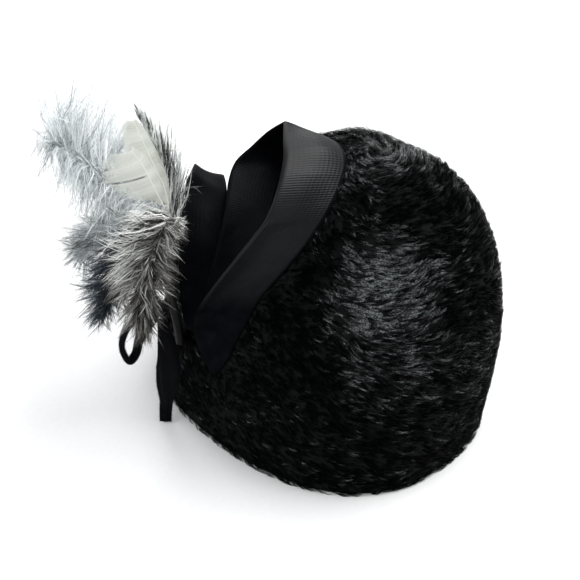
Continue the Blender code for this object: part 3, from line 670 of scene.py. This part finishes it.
def tie_pieces(stalk, finish):
    """The velvet tie: its open loop and its folded fall, each with pile, and the knot beside the stalk."""
    beside = stalk[round(KNOT_ALONG * (len(stalk) - 1))]
    knot = beside + np.array([-0.8, -0.6, 0.0]) * (STALK_HALF + KNOT_HALF + TOUCH_GAP)
    leave = KNOT_HALF + TOUCH_GAP

    loop = [off_felt(*spot) for spot in TIE_LOOP]
    start = knot + unit(loop[0] - knot) * leave
    end = knot + unit(loop[-1] - knot) * leave
    path = smooth_path([start] + loop + [end], LOOP_STEPS)
    along = np.linspace(0, 1, len(path))
    wide = LOOP_WIDE / 2 * (1 + 0.08 * np.sin(along * 9))
    rings = tube_rings(path, wide, np.full(len(path), LOOP_HALF_THICK), (0, 1, 0), 24, 0.1, 4, 1.2)
    points, triangles = skin(rings)
    open_loop = make_piece("velvet_open_loop", points, triangles, finish, "tie_loop")
    pile = velvet_pile("velvet_open_loop_pile", rings, finish, "tie_loop", 41)

    fall = [off_felt(*spot) for spot in TIE_FALL]
    path = smooth_path([knot + unit(fall[0] - knot) * leave] + fall, FALL_STEPS)
    along = np.linspace(0, len(FALL_HALVES) - 1, len(path))
    wide = np.interp(along, np.arange(len(FALL_HALVES)), FALL_HALVES)
    thick = np.interp(along, np.arange(len(FALL_HALVES)), FALL_HALF_THICKS)
    folds = tube_rings(path, wide, thick, (1, 0, 0), 48, 0.17, 5, 0.7)
    points, triangles = skin(folds)
    hanging = make_piece("velvet_fall", points, triangles, finish, "tie_fall")
    pile = velvet_pile("velvet_fall_pile", folds, finish, "tie_fall", 43)

    rows, around = 26, 32
    down = np.linspace(0.06, math.pi - 0.06, rows)[:, None]
    turn = (WHOLE_TURN * np.arange(around) / around)[None]
    wrap = KNOT_HALF * (0.95 + 0.05 * np.cos(3 * (turn + 1.1 * down)))
    out = np.sin(down)
    ball = np.stack([out * np.cos(turn), out * np.sin(turn), np.cos(down) + 0 * turn], axis=-1)
    points, triangles = skin(knot + ball * wrap[:, :, None])
    make_piece("velvet_knot", points, triangles[:, ::-1], finish, "tie_knot")


# A fan of barbs is its number of wisps, how far they droop, how often one is much longer, how much lighter it
# is, and rows: the share along the spine, a direction as seen (right, up, facing), a length and a spread.
# Its third fan is painted shade: dark barbs laid behind the pale ones, for the gaps between them.
FRONT_FANS = [
    (120, 0.45, 0.1, 0.35, [
        (0.03, -0.6, 0.8, 0.2, 20, 0.2), (0.2, -0.9, 0.45, 0.25, 37, 0.12),
        (0.35, -1.0, 0.12, 0.25, 38, 0.11), (0.5, -0.97, -0.1, 0.25, 36, 0.12),
        (0.62, -0.9, -0.3, 0.3, 32, 0.16)]),
    (130, 0.4, 0.15, 0.0, [
        (0.5, -0.95, -0.2, 0.2, 30, 0.16), (0.7, -0.9, -0.35, 0.3, 29, 0.2),
        (0.85, -0.6, -0.65, 0.3, 22, 0.35), (1.0, -0.1, -1.0, 0.3, 15, 0.45)]),
    (190, 0.4, 0.1, -0.9, [
        (0.1, -0.8, 0.5, 0.0, 27, 0.15), (0.35, -1.0, 0.1, 0.0, 30, 0.15), (0.6, -0.9, -0.3, 0.0, 28, 0.2)]),
    (34, 0.1, 0.5, 0.3, [
        (0.03, 0.3, 0.7, 0.3, 14, 0.35), (0.15, 0.5, 0.2, 0.3, 9, 0.4), (0.4, 0.8, -0.3, 0.3, 10, 0.4)]),
    (300, 0.3, 0.3, -0.25, [
        (0.3, 0.7, -0.5, 0.1, 12, 0.35), (0.5, 0.9, -0.4, 0.0, 16, 0.35), (0.7, 0.85, -0.5, 0.0, 18, 0.35),
        (0.85, 0.5, -0.8, 0.2, 17, 0.4), (1.0, 0.3, -1.0, 0.3, 14, 0.4)]),
    (110, 0.35, 0.2, -0.1, [
        (0.5, -0.3, -0.6, 0.7, 14, 0.4), (0.7, -0.2, -0.8, 0.6, 18, 0.4), (0.85, 0.1, -1.0, 0.4, 17, 0.4),
        (1.0, 0.1, -1.0, 0.4, 14, 0.4)]),
]
TOP_FANS = [
    (440, -0.03, 0.35, 0.05, [
        (0.1, 0.25, 1.0, -0.2, 36, 0.22), (0.3, 0.25, 1.0, -0.5, 58, 0.2), (0.6, 0.2, 1.0, -0.5, 66, 0.2),
        (0.85, 0.05, 1.0, -0.3, 56, 0.25), (1.0, -0.3, 0.95, 0.0, 40, 0.35)]),
    (16, 1.35, 0.05, 0.5, [
        (0.5, -0.75, 0.6, 0.0, 34, 0.08), (0.8, -0.8, 0.6, 0.0, 36, 0.08),
        (1.0, -0.85, 0.6, 0.0, 34, 0.08)]),
    (140, 1.5, 0.1, -0.1, [
        (0.5, -0.4, 0.8, 0.1, 30, 0.3), (0.85, -0.6, 0.8, 0.1, 30, 0.3), (1.0, -0.75, 0.7, 0.1, 28, 0.3)]),
    (330, 0.35, 0.2, 0.1, [
        (0.1, -0.5, -0.5, 0.0, 30, 0.4), (0.5, -0.3, -0.9, 0.0, 36, 0.35), (0.8, -0.1, -1.0, 0.1, 34, 0.35),
        (1.0, -0.1, -0.9, 0.1, 28, 0.35)]),
]
# Its second and last fans are painted shade: dark barbs laid behind the grey ones, for the gaps between them.
MID_FANS = [
    (170, 0.05, 0.2, 0.25, [
        (0.0, -0.95, 0.45, 0.2, 44, 0.2), (0.4, -1.0, 0.2, 0.2, 40, 0.22), (0.7, -1.0, 0.0, 0.2, 32, 0.25),
        (1.0, -0.95, -0.25, 0.2, 24, 0.3)]),
    (30, 0.15, 0.0, -0.6, [
        (0.0, -1.0, 0.15, -0.1, 62, 0.22), (0.5, -1.0, 0.0, -0.1, 48, 0.22),
        (1.0, -1.0, -0.1, -0.1, 34, 0.25)]),
    (220, 0.1, 0.2, 0.35, [
        (0.0, -0.5, 0.9, 0.0, 26, 0.35), (0.5, -0.8, 0.7, 0.2, 28, 0.35), (1.0, -0.9, 0.5, 0.2, 24, 0.35)]),
    (220, 0.25, 0.2, 0.3, [
        (0.0, -0.7, -0.5, 0.1, 32, 0.4), (0.5, -0.7, -0.6, 0.1, 30, 0.4), (1.0, -0.7, -0.7, 0.1, 24, 0.4)]),
    (190, 0.2, 0.0, -0.9, [
        (0.0, -0.75, -0.3, 0.6, 32, 0.4), (0.4, -0.8, -0.4, 0.4, 24, 0.4)]),
]
LOW_FANS = [
    (270, 0.25, 0.25, 0.0, [
        (0.02, -0.9, 0.1, 0.1, 24, 0.35), (0.4, -0.95, -0.2, 0.2, 33, 0.28),
        (0.8, -0.9, -0.4, 0.2, 31, 0.28), (1.0, -0.6, -0.85, 0.2, 19, 0.4)]),
    (100, 0.2, 0.2, -0.1, [
        (0.05, 0.4, -0.6, 0.2, 16, 0.5), (0.5, 0.5, -0.8, 0.2, 18, 0.5), (1.0, 0.4, -0.9, 0.3, 16, 0.5)]),
]
HACKLE_FANS = [
    (110, 0.0, 0.2, 0.0, [
        (0.0, -0.15, 1.0, 0.2, 44, 0.08), (0.5, -0.38, 0.92, 0.1, 30, 0.06),
        (1.0, -0.5, 0.87, 0.1, 9, 0.08)]),
    (150, -0.08, 0.1, 0.05, [
        (0.0, 0.24, 1.0, 0.3, 48, 0.08), (0.3, 0.06, 1.0, 0.3, 42, 0.07), (0.7, -0.22, 0.97, 0.2, 26, 0.06),
        (1.0, -0.42, 0.92, 0.1, 12, 0.06)]),
    (26, 0.1, 0.3, 0.3, [
        (0.0, 0.5, 0.8, 0.4, 20, 0.2), (0.5, 0.25, 0.97, 0.3, 18, 0.2), (1.0, -0.1, 1.0, 0.2, 10, 0.2)]),
]

# Each plume: its spine after the root; "root" moves its root on the stalk's head, "half" is half its shaft's
# width, a "wisp" is so many barbs, and "fluff" so many barbules, darker by "dull". No barb leaves the "bare"
# share, "thick" is how wide barbs are, "sway" bends the wisps, and "gather" is how loosely their barbs run.
PLUMES = {
    "plume_front": {
        "spine": [(31, 41, 54), (34, 41.5, 64), (34, 37, 64), (32, 29, 57), (29, 20, 49), (28, 12, 42)],
        "root": (0, -4, 0), "half": 0.45, "wisp": 5, "fluff": 11000, "bare": 0.03, "seed": 3, "dull": 0.6,
        "thick": 1.8, "sway": 0.11, "gather": 0.5, "fans": FRONT_FANS,
    },
    "plume_top": {
        "spine": [(7, 36, 47), (2, 34, 63), (-1, 34, 84), (-2, 34, 104)],
        "root": (-2, 4, 1), "half": 0.35, "wisp": 3, "fluff": 20000, "bare": 0.1, "seed": 5, "dull": 0.2,
        "thick": 1.3, "sway": 0.12, "gather": 0.5, "fans": TOP_FANS,
    },
    "plume_mid": {
        "spine": [(4, 27, 44), (-1, 19, 53), (-4, 12, 60)],
        "root": (-5, 3, -1), "half": 0.35, "wisp": 4, "fluff": 17000, "bare": 0.0, "seed": 8, "dull": -0.1,
        "thick": 1.05, "sway": 0.1, "gather": 0.7, "fans": MID_FANS,
    },
    "plume_low": {
        "spine": [(14, 25, 50), (10, 15, 44), (7, 8, 41), (4, 1, 43)],
        "root": (-9, -4, 0), "half": 0.5, "wisp": 6, "fluff": 12000, "bare": 0.02, "seed": 13, "dull": 0.0,
        "thick": 1.1, "sway": 0.1, "gather": 0.7, "fans": LOW_FANS,
    },
    "hackle_dark": {
        "spine": [(12, 43, 45), (8, 48, 61), (5, 50, 80)],
        "root": (2, 5, 2), "half": 0.5, "wisp": 4, "fluff": 1500, "bare": 0.0, "seed": 21, "dull": 0.0,
        "thick": 1.8, "sway": 0.03, "gather": 0.5, "fans": HACKLE_FANS,
    },
}
BARB_STEPS = 5
BARB_HALVES, FLUFF_HALVES = (0.1, 0.2), (0.05, 0.1)
FLUFF_LONG = (2.0, 6.5)
SPINE_STEPS = 60
REACH_PAST = 13.5
LEAST_KEPT = 0.2


def held_in(paths):
    """Shortens the few barbs that would reach more than REACH_PAST beyond the box of the modelled hat."""
    low, high = (np.array(corner) * 1000 for corner in CAD_BOX)
    places = on_hat(paths) * 1000
    past = np.maximum(np.maximum(places - high, low - places) - REACH_PAST, 0)
    keep = 1 - past / np.maximum(np.abs(places - places[:, :1]), 1)
    keep = np.clip(keep.min(axis=(1, 2)), LEAST_KEPT, 1.0)[:, None, None]
    return paths[:, :1] + (paths - paths[:, :1]) * keep


def feather_start(stalk, first, shift):
    """Where a feather leaves the stalk's head, towards its first point and shifted by some mm."""
    head = stalk[-1]
    leaving = unit(first - head) * STALK_HEAD_HALF + np.array(shift)
    return head + unit(leaving) * (STALK_HEAD_HALF + ROOT_CLEAR)


def shaft_part(path, half, light, tip=0.35):
    """A feather's shaft, thinned towards its tip, as points, triangles and shade."""
    thin = half * np.linspace(1, tip, len(path))
    points, triangles = skin(tube_rings(path, thin, thin, (0, 1, 0), 8))
    return points, triangles, np.full(len(points), light)


def join(parts):
    """Several (points, triangles, shade) made one."""
    points = np.vstack([part[0] for part in parts])
    starts = np.cumsum([0] + [len(part[0]) for part in parts])
    triangles = np.vstack([part[1] + start for part, start in zip(parts, starts)])
    return points, triangles, np.concatenate([np.ravel(part[2]) for part in parts])


def sideways(aim, length, amount, rng):
    """A step across each aim, by some random share of its length."""
    way = unit(np.cross(aim, rng.normal(0, 1, aim.shape)))
    return way * (length * rng.normal(0, amount, len(aim)))[:, None]


def barb_paths(plume, path, rng):
    """Barbs leaving the shaft in fans; those of a wisp run together towards its tip and bend over as one."""
    places = np.linspace(0, 1, len(path))
    tangent = unit(np.gradient(path, axis=0))
    t = np.linspace(0, 1, BARB_STEPS)[None, :, None]
    gather = plume["gather"]
    made, roots_at, tones, lights = [], [], [], []
    for wisps, droop, tail, lighter, rows in plume["fans"]:
        rows = np.array(rows)
        stops = rows[:, 0]
        at = rng.uniform(max(plume["bare"], stops[0]), stops[-1], wisps)
        aim = between(at, stops, np.array([seen(*row[1:4]) for row in rows]))
        length = np.interp(at, stops, rows[:, 4])
        length *= rng.uniform(0.5, 1.0, wisps) + tail * rng.uniform(0, 1, wisps) ** 7
        spread = np.interp(at, stops, rows[:, 5])
        aim = unit(unit(aim) + rng.normal(0, 1, (wisps, 3)) * spread[:, None])
        owner = np.repeat(np.arange(wisps), plume["wisp"])
        count = len(owner)
        root_at = np.clip(at[owner] + rng.normal(0, 0.022 * gather, count), 0, 1)
        wisp_root, root = between(at, places, path), between(root_at, places, path)
        onward = between(root_at, places, tangent)
        apart = rng.normal(0, 0.035 * gather, (count, 3)) * length[owner][:, None]
        goal = (wisp_root + aim * length[:, None])[owner] + apart
        goal = root + (goal - root) * rng.uniform(0.65, 1.05, (count, 1))
        reach = np.linalg.norm(goal - root, axis=1)
        paths = root[:, None] + (goal - root)[:, None] * t
        paths = paths + onward[:, None] * (0.25 * reach)[:, None, None] * t * (1 - t)
        paths[:, :, 2] -= (droop * rng.uniform(0.5, 1.3, wisps)[owner] * reach)[:, None] * t[:, :, 0] ** 2.2
        sway = sideways(aim, length, plume["sway"], rng)
        curl = sideways(aim, length, 0.035, rng)
        bent = sway[owner] + rng.normal(0, 0.02 * gather, (count, 3)) * reach[:, None]
        paths += bent[:, None] * np.sin(math.pi * t * 1.3)
        paths += curl[owner][:, None] * np.sin(math.pi * t * 2.6)
        made.append(paths)
        roots_at.append(root_at)
        tones.append(rng.normal(0, 0.9, wisps)[owner] + rng.normal(0, 0.4, count))
        lights.append(np.full(count, lighter))
    return np.vstack(made), np.concatenate(roots_at), np.concatenate(tones), np.concatenate(lights)


def fluff_paths(paths, count, rng):
    """Short fine barbules that leave the barbs at an angle and blur their edges."""
    owner = rng.integers(0, len(paths), count)
    share = rng.beta(1.2, 2.0, count) * (BARB_STEPS - 1)
    first = np.minimum(share.astype(int), BARB_STEPS - 2)
    a, b = paths[owner, first], paths[owner, first + 1]
    root = a + (b - a) * (share - first)[:, None]
    way = unit(unit(b - a) + rng.normal(0, 0.6, (count, 3)))
    t = np.linspace(0, 1, 3)[None, :, None]
    reach = rng.uniform(*FLUFF_LONG, count)[:, None, None]
    made = root[:, None] + way[:, None] * t * reach
    made[:, :, 2] -= 0.2 * reach[:, :, 0] * t[:, :, 0] ** 2
    return made, owner, share / (BARB_STEPS - 1)


def plume_piece(name, stalk):
    """A marabou or hackle feather: its shaft, its barbs in wisps, and their fluff."""
    plume, tone = PLUMES[name], TONES[name]
    slot, dye, rough, speckle, stops = PLUME_LOOKS[name]
    finish = strand_finish(dye, stops, rough, DOWN_SILK, DOWN_SHEEN, speckle)
    rng = np.random.default_rng(plume["seed"])
    start = feather_start(stalk, off_felt(*plume["spine"][0]), plume["root"])
    path = spine_of(plume["spine"], start, SPINE_STEPS)
    paths, root_at, own, lighter = barb_paths(plume, path, rng)
    paths = held_in(paths)
    facing = unit(rng.normal(0, 1, (len(paths), 3)))
    halves = rng.uniform(*BARB_HALVES, len(paths)) * plume["thick"]
    points, triangles, share = strips(paths, halves, facing)
    barbs = points, triangles, tone(share, root_at[:, None], own[:, None]) + lighter[:, None]

    made, parent, where = fluff_paths(paths, plume["fluff"], rng)
    made = held_in(made)
    facing = unit(rng.normal(0, 1, (len(made), 3)))
    points, triangles, share = strips(made, rng.uniform(*FLUFF_HALVES, len(made)), facing)
    where = np.broadcast_to(where[:, None], share.shape)
    soft = tone(where, root_at[parent][:, None], own[parent][:, None])
    fluff = points, triangles, soft + lighter[parent][:, None] - plume["dull"]

    points, triangles, shade = join([shaft_part(path, plume["half"], 0.75), barbs, fluff])
    make_piece(name + "_barbs", points, triangles, finish, name, shade=np.clip(shade, 0, 1))


# How light a barb is, from its share root to tip, its place along the spine, and its own difference. The
# front and grey plumes go dark towards their roots: painted shade deep among the barbs.
TONES = {
    "plume_front": lambda share, at, own: (
        0.45 + 0.4 * np.minimum(share * 1.5, 1) - 0.6 * at ** 1.6 + 0.22 * own
    ),
    "plume_top": lambda share, at, own: 0.9 - 0.45 * share ** 2 + 0.32 * own,
    "plume_mid": lambda share, at, own: -0.4 + 2.2 * np.minimum(share, 0.55) - 0.3 * share + 0.4 * own,
    "plume_low": lambda share, at, own: -0.05 + 0.75 * share ** 3 + 0.08 * own,
    "hackle_dark": lambda share, at, own: 0.6 + 0.3 * own + 0.1 * share,
}
DOWN_SILK, DOWN_SHEEN = 0.25, 0.15
# Each feather's slot, its dyed down, how rough and how speckled that is, and its colours from dark to light.
PLUME_LOOKS = {
    # Soft cream down that goes warm grey-brown.
    "plume_front": ("marabou_cream", "marabou_cream", 0.75, 0.2,
                    [(0.0, "#1e1d1b"), (0.35, "#6a6863"), (0.75, "#cbccc8"), (1.0, "#f3f4f2")]),
    # Soft down in the palest blue-grey.
    "plume_top": ("marabou_pale", "marabou_pale", 0.75, 0.15,
                  [(0.0, "#5d6466"), (0.4, "#9da5a7"), (0.8, "#dfe5e7"), (1.0, "#f6f9fa")]),
    # Soft grey down, near black at its roots, which is painted shade among the barbs.
    "plume_mid": ("marabou_grey", "marabou_grey", 0.75, 0.2,
                  [(0.0, "#0c0e0f"), (0.3, "#2a2e31"), (0.65, "#858c8f"), (1.0, "#e3e8e9")]),
    # Navy-black down with pale blue tips.
    "plume_low": ("marabou_navy", "marabou_navy", 0.75, 0.15,
                  [(0.0, "#0b1016"), (0.3, "#202b38"), (0.7, "#7d8f9c"), (1.0, "#c5d0d6")]),
    # Cock hackle: glossier barbs, either black or pale, with hardly a grey between them.
    "hackle_dark": ("hackle", "cock_hackle", 0.4, 0.0,
                    [(0.0, "#050505"), (0.5, "#121314"), (0.62, "#c9cecb"), (1.0, "#eef1ee")]),
}


# A goose feather: its shaft, and rows of share along, the vane's width left and right, and its curl back.
# A slit is the share where it starts, how far it opens, and the share of its barbs that stays whole.
GOOSE = {
    "goose_front": {
        "shaft": [(26, 41, 54), (26, 45, 71), (26, 47, 83), (26, 48, 95)], "root": (0, -1, 2), "seed": 31,
        "vane": [
            (0, 0.2, 0.2, 0), (0.42, 0.3, 0.3, 0), (0.5, 3, 2, 0.5), (0.56, 11, 3.5, 2), (0.62, 17.5, 4.5, 4),
            (0.7, 21.5, 5, 5), (0.78, 22, 5, 4), (0.87, 20, 4.5, 3), (0.95, 15.5, 3.5, 2), (1, 6.5, 1.5, 1),
        ],
        "slits": [(0.73, 1.0, 0.1), (0.9, 0.9, 0.78)],
    },
    "goose_back": {
        "shaft": [(19, 44, 54), (18, 48, 73), (16, 51, 93)], "root": (0, 2, 3), "seed": 37,
        "vane": [
            (0, 0.2, 0.2, 0), (0.25, 0.3, 0.3, 0), (0.38, 5, 2.5, 0.5), (0.52, 10, 4.5, 1),
            (0.68, 12, 5.2, 2), (0.84, 11, 4.8, 2), (0.94, 8, 3.2, 1), (1, 2.5, 1, 0.5),
        ],
        "slits": [],
    },
}
GOOSE_STEPS = 160
GOOSE_BARBS = 420
GOOSE_BARB_STEPS = 9
# The vane's widths are evened out over so many barbs each way, and its face looks this way.
EVENED = 14
VANE_FACES = np.array([0, -0.82, 0.57])


def goose_finish():
    """A goose feather's vane: matte off-white barbs laid side by side, faintly lined, with painted shadow in
    its slits.
    """
    stops = [(0.0, "#4c4e49"), (0.4, "#b2b5ac"), (0.8, "#d8dbd3"), (1.0, "#eef0ea")]
    return strand_finish("goose_vane", stops, 0.6, 0.3, 0.1, 0.12)


def goose_piece(name, goose, stalk, finish):
    """A goose feather: barbs laid side by side from the shaft, following the vane's widths and its curl."""
    rng = np.random.default_rng(goose["seed"])
    start = feather_start(stalk, off_felt(*goose["shaft"][0]), goose["root"])
    path = spine_of(goose["shaft"], start, GOOSE_STEPS)
    tangent = unit(np.gradient(path, axis=0))
    face = unit(VANE_FACES - tangent * (tangent @ VANE_FACES)[:, None])
    side = unit(np.cross(tangent, face))
    vane = np.array(goose["vane"])
    parts = []
    places = np.linspace(0, 1, len(path))
    for column, way in ((1, -1.0), (2, 1.0)):
        at = np.linspace(0.02, 0.995, GOOSE_BARBS)
        wide = np.interp(at, vane[:, 0], vane[:, column])
        evening = np.full(2 * EVENED + 1, 1 / (2 * EVENED + 1))
        wide = np.convolve(np.pad(wide, EVENED, mode="edge"), evening, "valid")
        curl = np.interp(at, vane[:, 0], vane[:, 3])
        back = 0.08 + 0.5 * np.clip((at - 0.8) / 0.2, 0, 1) - 0.25 * np.clip((0.7 - at) / 0.15, 0, 1)
        t = np.linspace(0, 1, GOOSE_BARB_STEPS)
        opened, shadow = np.zeros((2, len(at), GOOSE_BARB_STEPS))
        # Painted shadow: the barbs along each slit are darkened where the open slit would be in shade.
        for slit, gap, depth in goose["slits"] if way < 0 else []:
            past = np.clip(t - depth, 0, 1) / (1 - depth)
            opened += np.where(at > slit, np.exp(-(at - slit) / 0.05), 0)[:, None] * gap * past[None]
            shadow += np.exp(-((at - slit) / 0.008) ** 2)[:, None] * (past > 0)[None]
        root, on, out, over = (between(at, places, rows) for rows in (path, tangent, face, side))
        reach = wide * (1 + rng.normal(0, 0.012, len(at)))
        paths = root[:, None] + over[:, None] * (way * reach[:, None] * t[None])[:, :, None]
        paths += on[:, None] * (back[:, None] * reach[:, None] * (t[None] ** 1.6))[:, :, None]
        paths -= out[:, None] * ((1.0 if way < 0 else 0.2) * curl[:, None] * t[None] ** 2)[:, :, None]
        paths += on[:, None] * opened[:, :, None]
        ripples = 0.22 * np.sin(at * 70 + rng.uniform(0, 6))[:, None] * t[None]
        paths += out[:, None] * ripples[:, :, None]
        halves = np.full(len(at), run_of(path) / GOOSE_BARBS * 0.78)
        points, triangles, share = strips(paths, halves, out)
        groups = 0.06 * np.sin(at * 45)[:, None] + 0.05 * rng.normal(0, 1, (len(at), 1))
        shadow = np.repeat(shadow, 2, axis=1)[:, :-1]
        parts.append((points, triangles, 0.8 - 0.12 * share + groups - 0.8 * shadow))
    points, triangles, shade = join(parts + [shaft_part(path, 0.55, 0.9, tip=0.25)])
    make_piece(name + "_vane", points, triangles, finish, name, shade=np.clip(shade, 0, 1))


FLOOR_HALF = 6.0
WORLD_LIGHT = 0.5
# Each lamp: its name, its place in mm, its side in metres and its power in watts.
LAMPS = [
    ("key", (380.0, 60.0, 680.0), 0.7, 7.0),
    ("fill", (-520.0, -380.0, 420.0), 0.8, 3.0),
    ("back", (-100.0, 620.0, 480.0), 0.7, 2.5),
]
LAMPS_AIM = (10.0, 0.0, 90.0)
CAMERA_AT, CAMERA_AIM = (-17.5, -557.0, 462.0), (-17.5, 0.0, 72.0)
LENS, SENSOR, NEAREST = 70.0, 36.0, 0.01


def set_up(name, data, place, aim):
    """A lamp or camera in its place, turned towards a point."""
    item = new_item(name, data)
    item.location = on_hat(place)
    item.rotation_euler = (Vector(on_hat(aim)) - Vector(item.location)).to_track_quat("-Z", "Y").to_euler()
    return item


def studio():
    """A pale floor, one large soft light from above right and two weak ones, and the camera."""
    mesh = bpy.data.meshes.new("floor")
    corners = [(-1, -1), (1, -1), (1, 1), (-1, 1)]
    mesh.from_pydata([(x * FLOOR_HALF, y * FLOOR_HALF, 0) for x, y in corners], [], [(0, 1, 2, 3)])
    mesh.materials.append(floor_finish())
    floor = new_item("floor", mesh)

    world = bpy.data.worlds.new("studio")
    world.use_nodes = True
    world.node_tree.nodes["Background"].inputs["Color"].default_value = linear("#f4f6f8")
    world.node_tree.nodes["Background"].inputs["Strength"].default_value = WORLD_LIGHT
    bpy.context.scene.world = world

    for name, place, size, power in LAMPS:
        light = bpy.data.lights.new(name, "AREA")
        light.size = size
        light.energy = power
        set_up(name, light, place, LAMPS_AIM)

    view = bpy.data.cameras.new("camera")
    view.lens = LENS
    view.sensor_width = SENSOR
    view.clip_start = NEAREST
    bpy.context.scene.camera = set_up("camera", view, CAMERA_AT, CAMERA_AIM)
    bpy.context.scene.view_settings.view_transform = "Standard"


studio()
stalk = stalk_piece(thread_finish())
tie_pieces(stalk, velvet_finish())
crown_felt()
grosgrain = grosgrain_finish()
ribbons = (
    ribbon_piece("front_loop", FRONT_LOOP, "loop_front", grosgrain, 11, (1.0, 0.2)),
    ribbon_piece("side_loop", SIDE_LOOP, "loop_side", grosgrain, 12, (0.3, 0.15)),
)
nap = nap_finish()
shell = outer_felt()
for number in range(NAP_PIECES):
    nap_piece(number + 1, shell, ribbons, nap)
for name in PLUMES:
    plume_piece(name, stalk)
goose = goose_finish()
for name, feather in GOOSE.items():
    goose_piece(name, feather, stalk, goose)
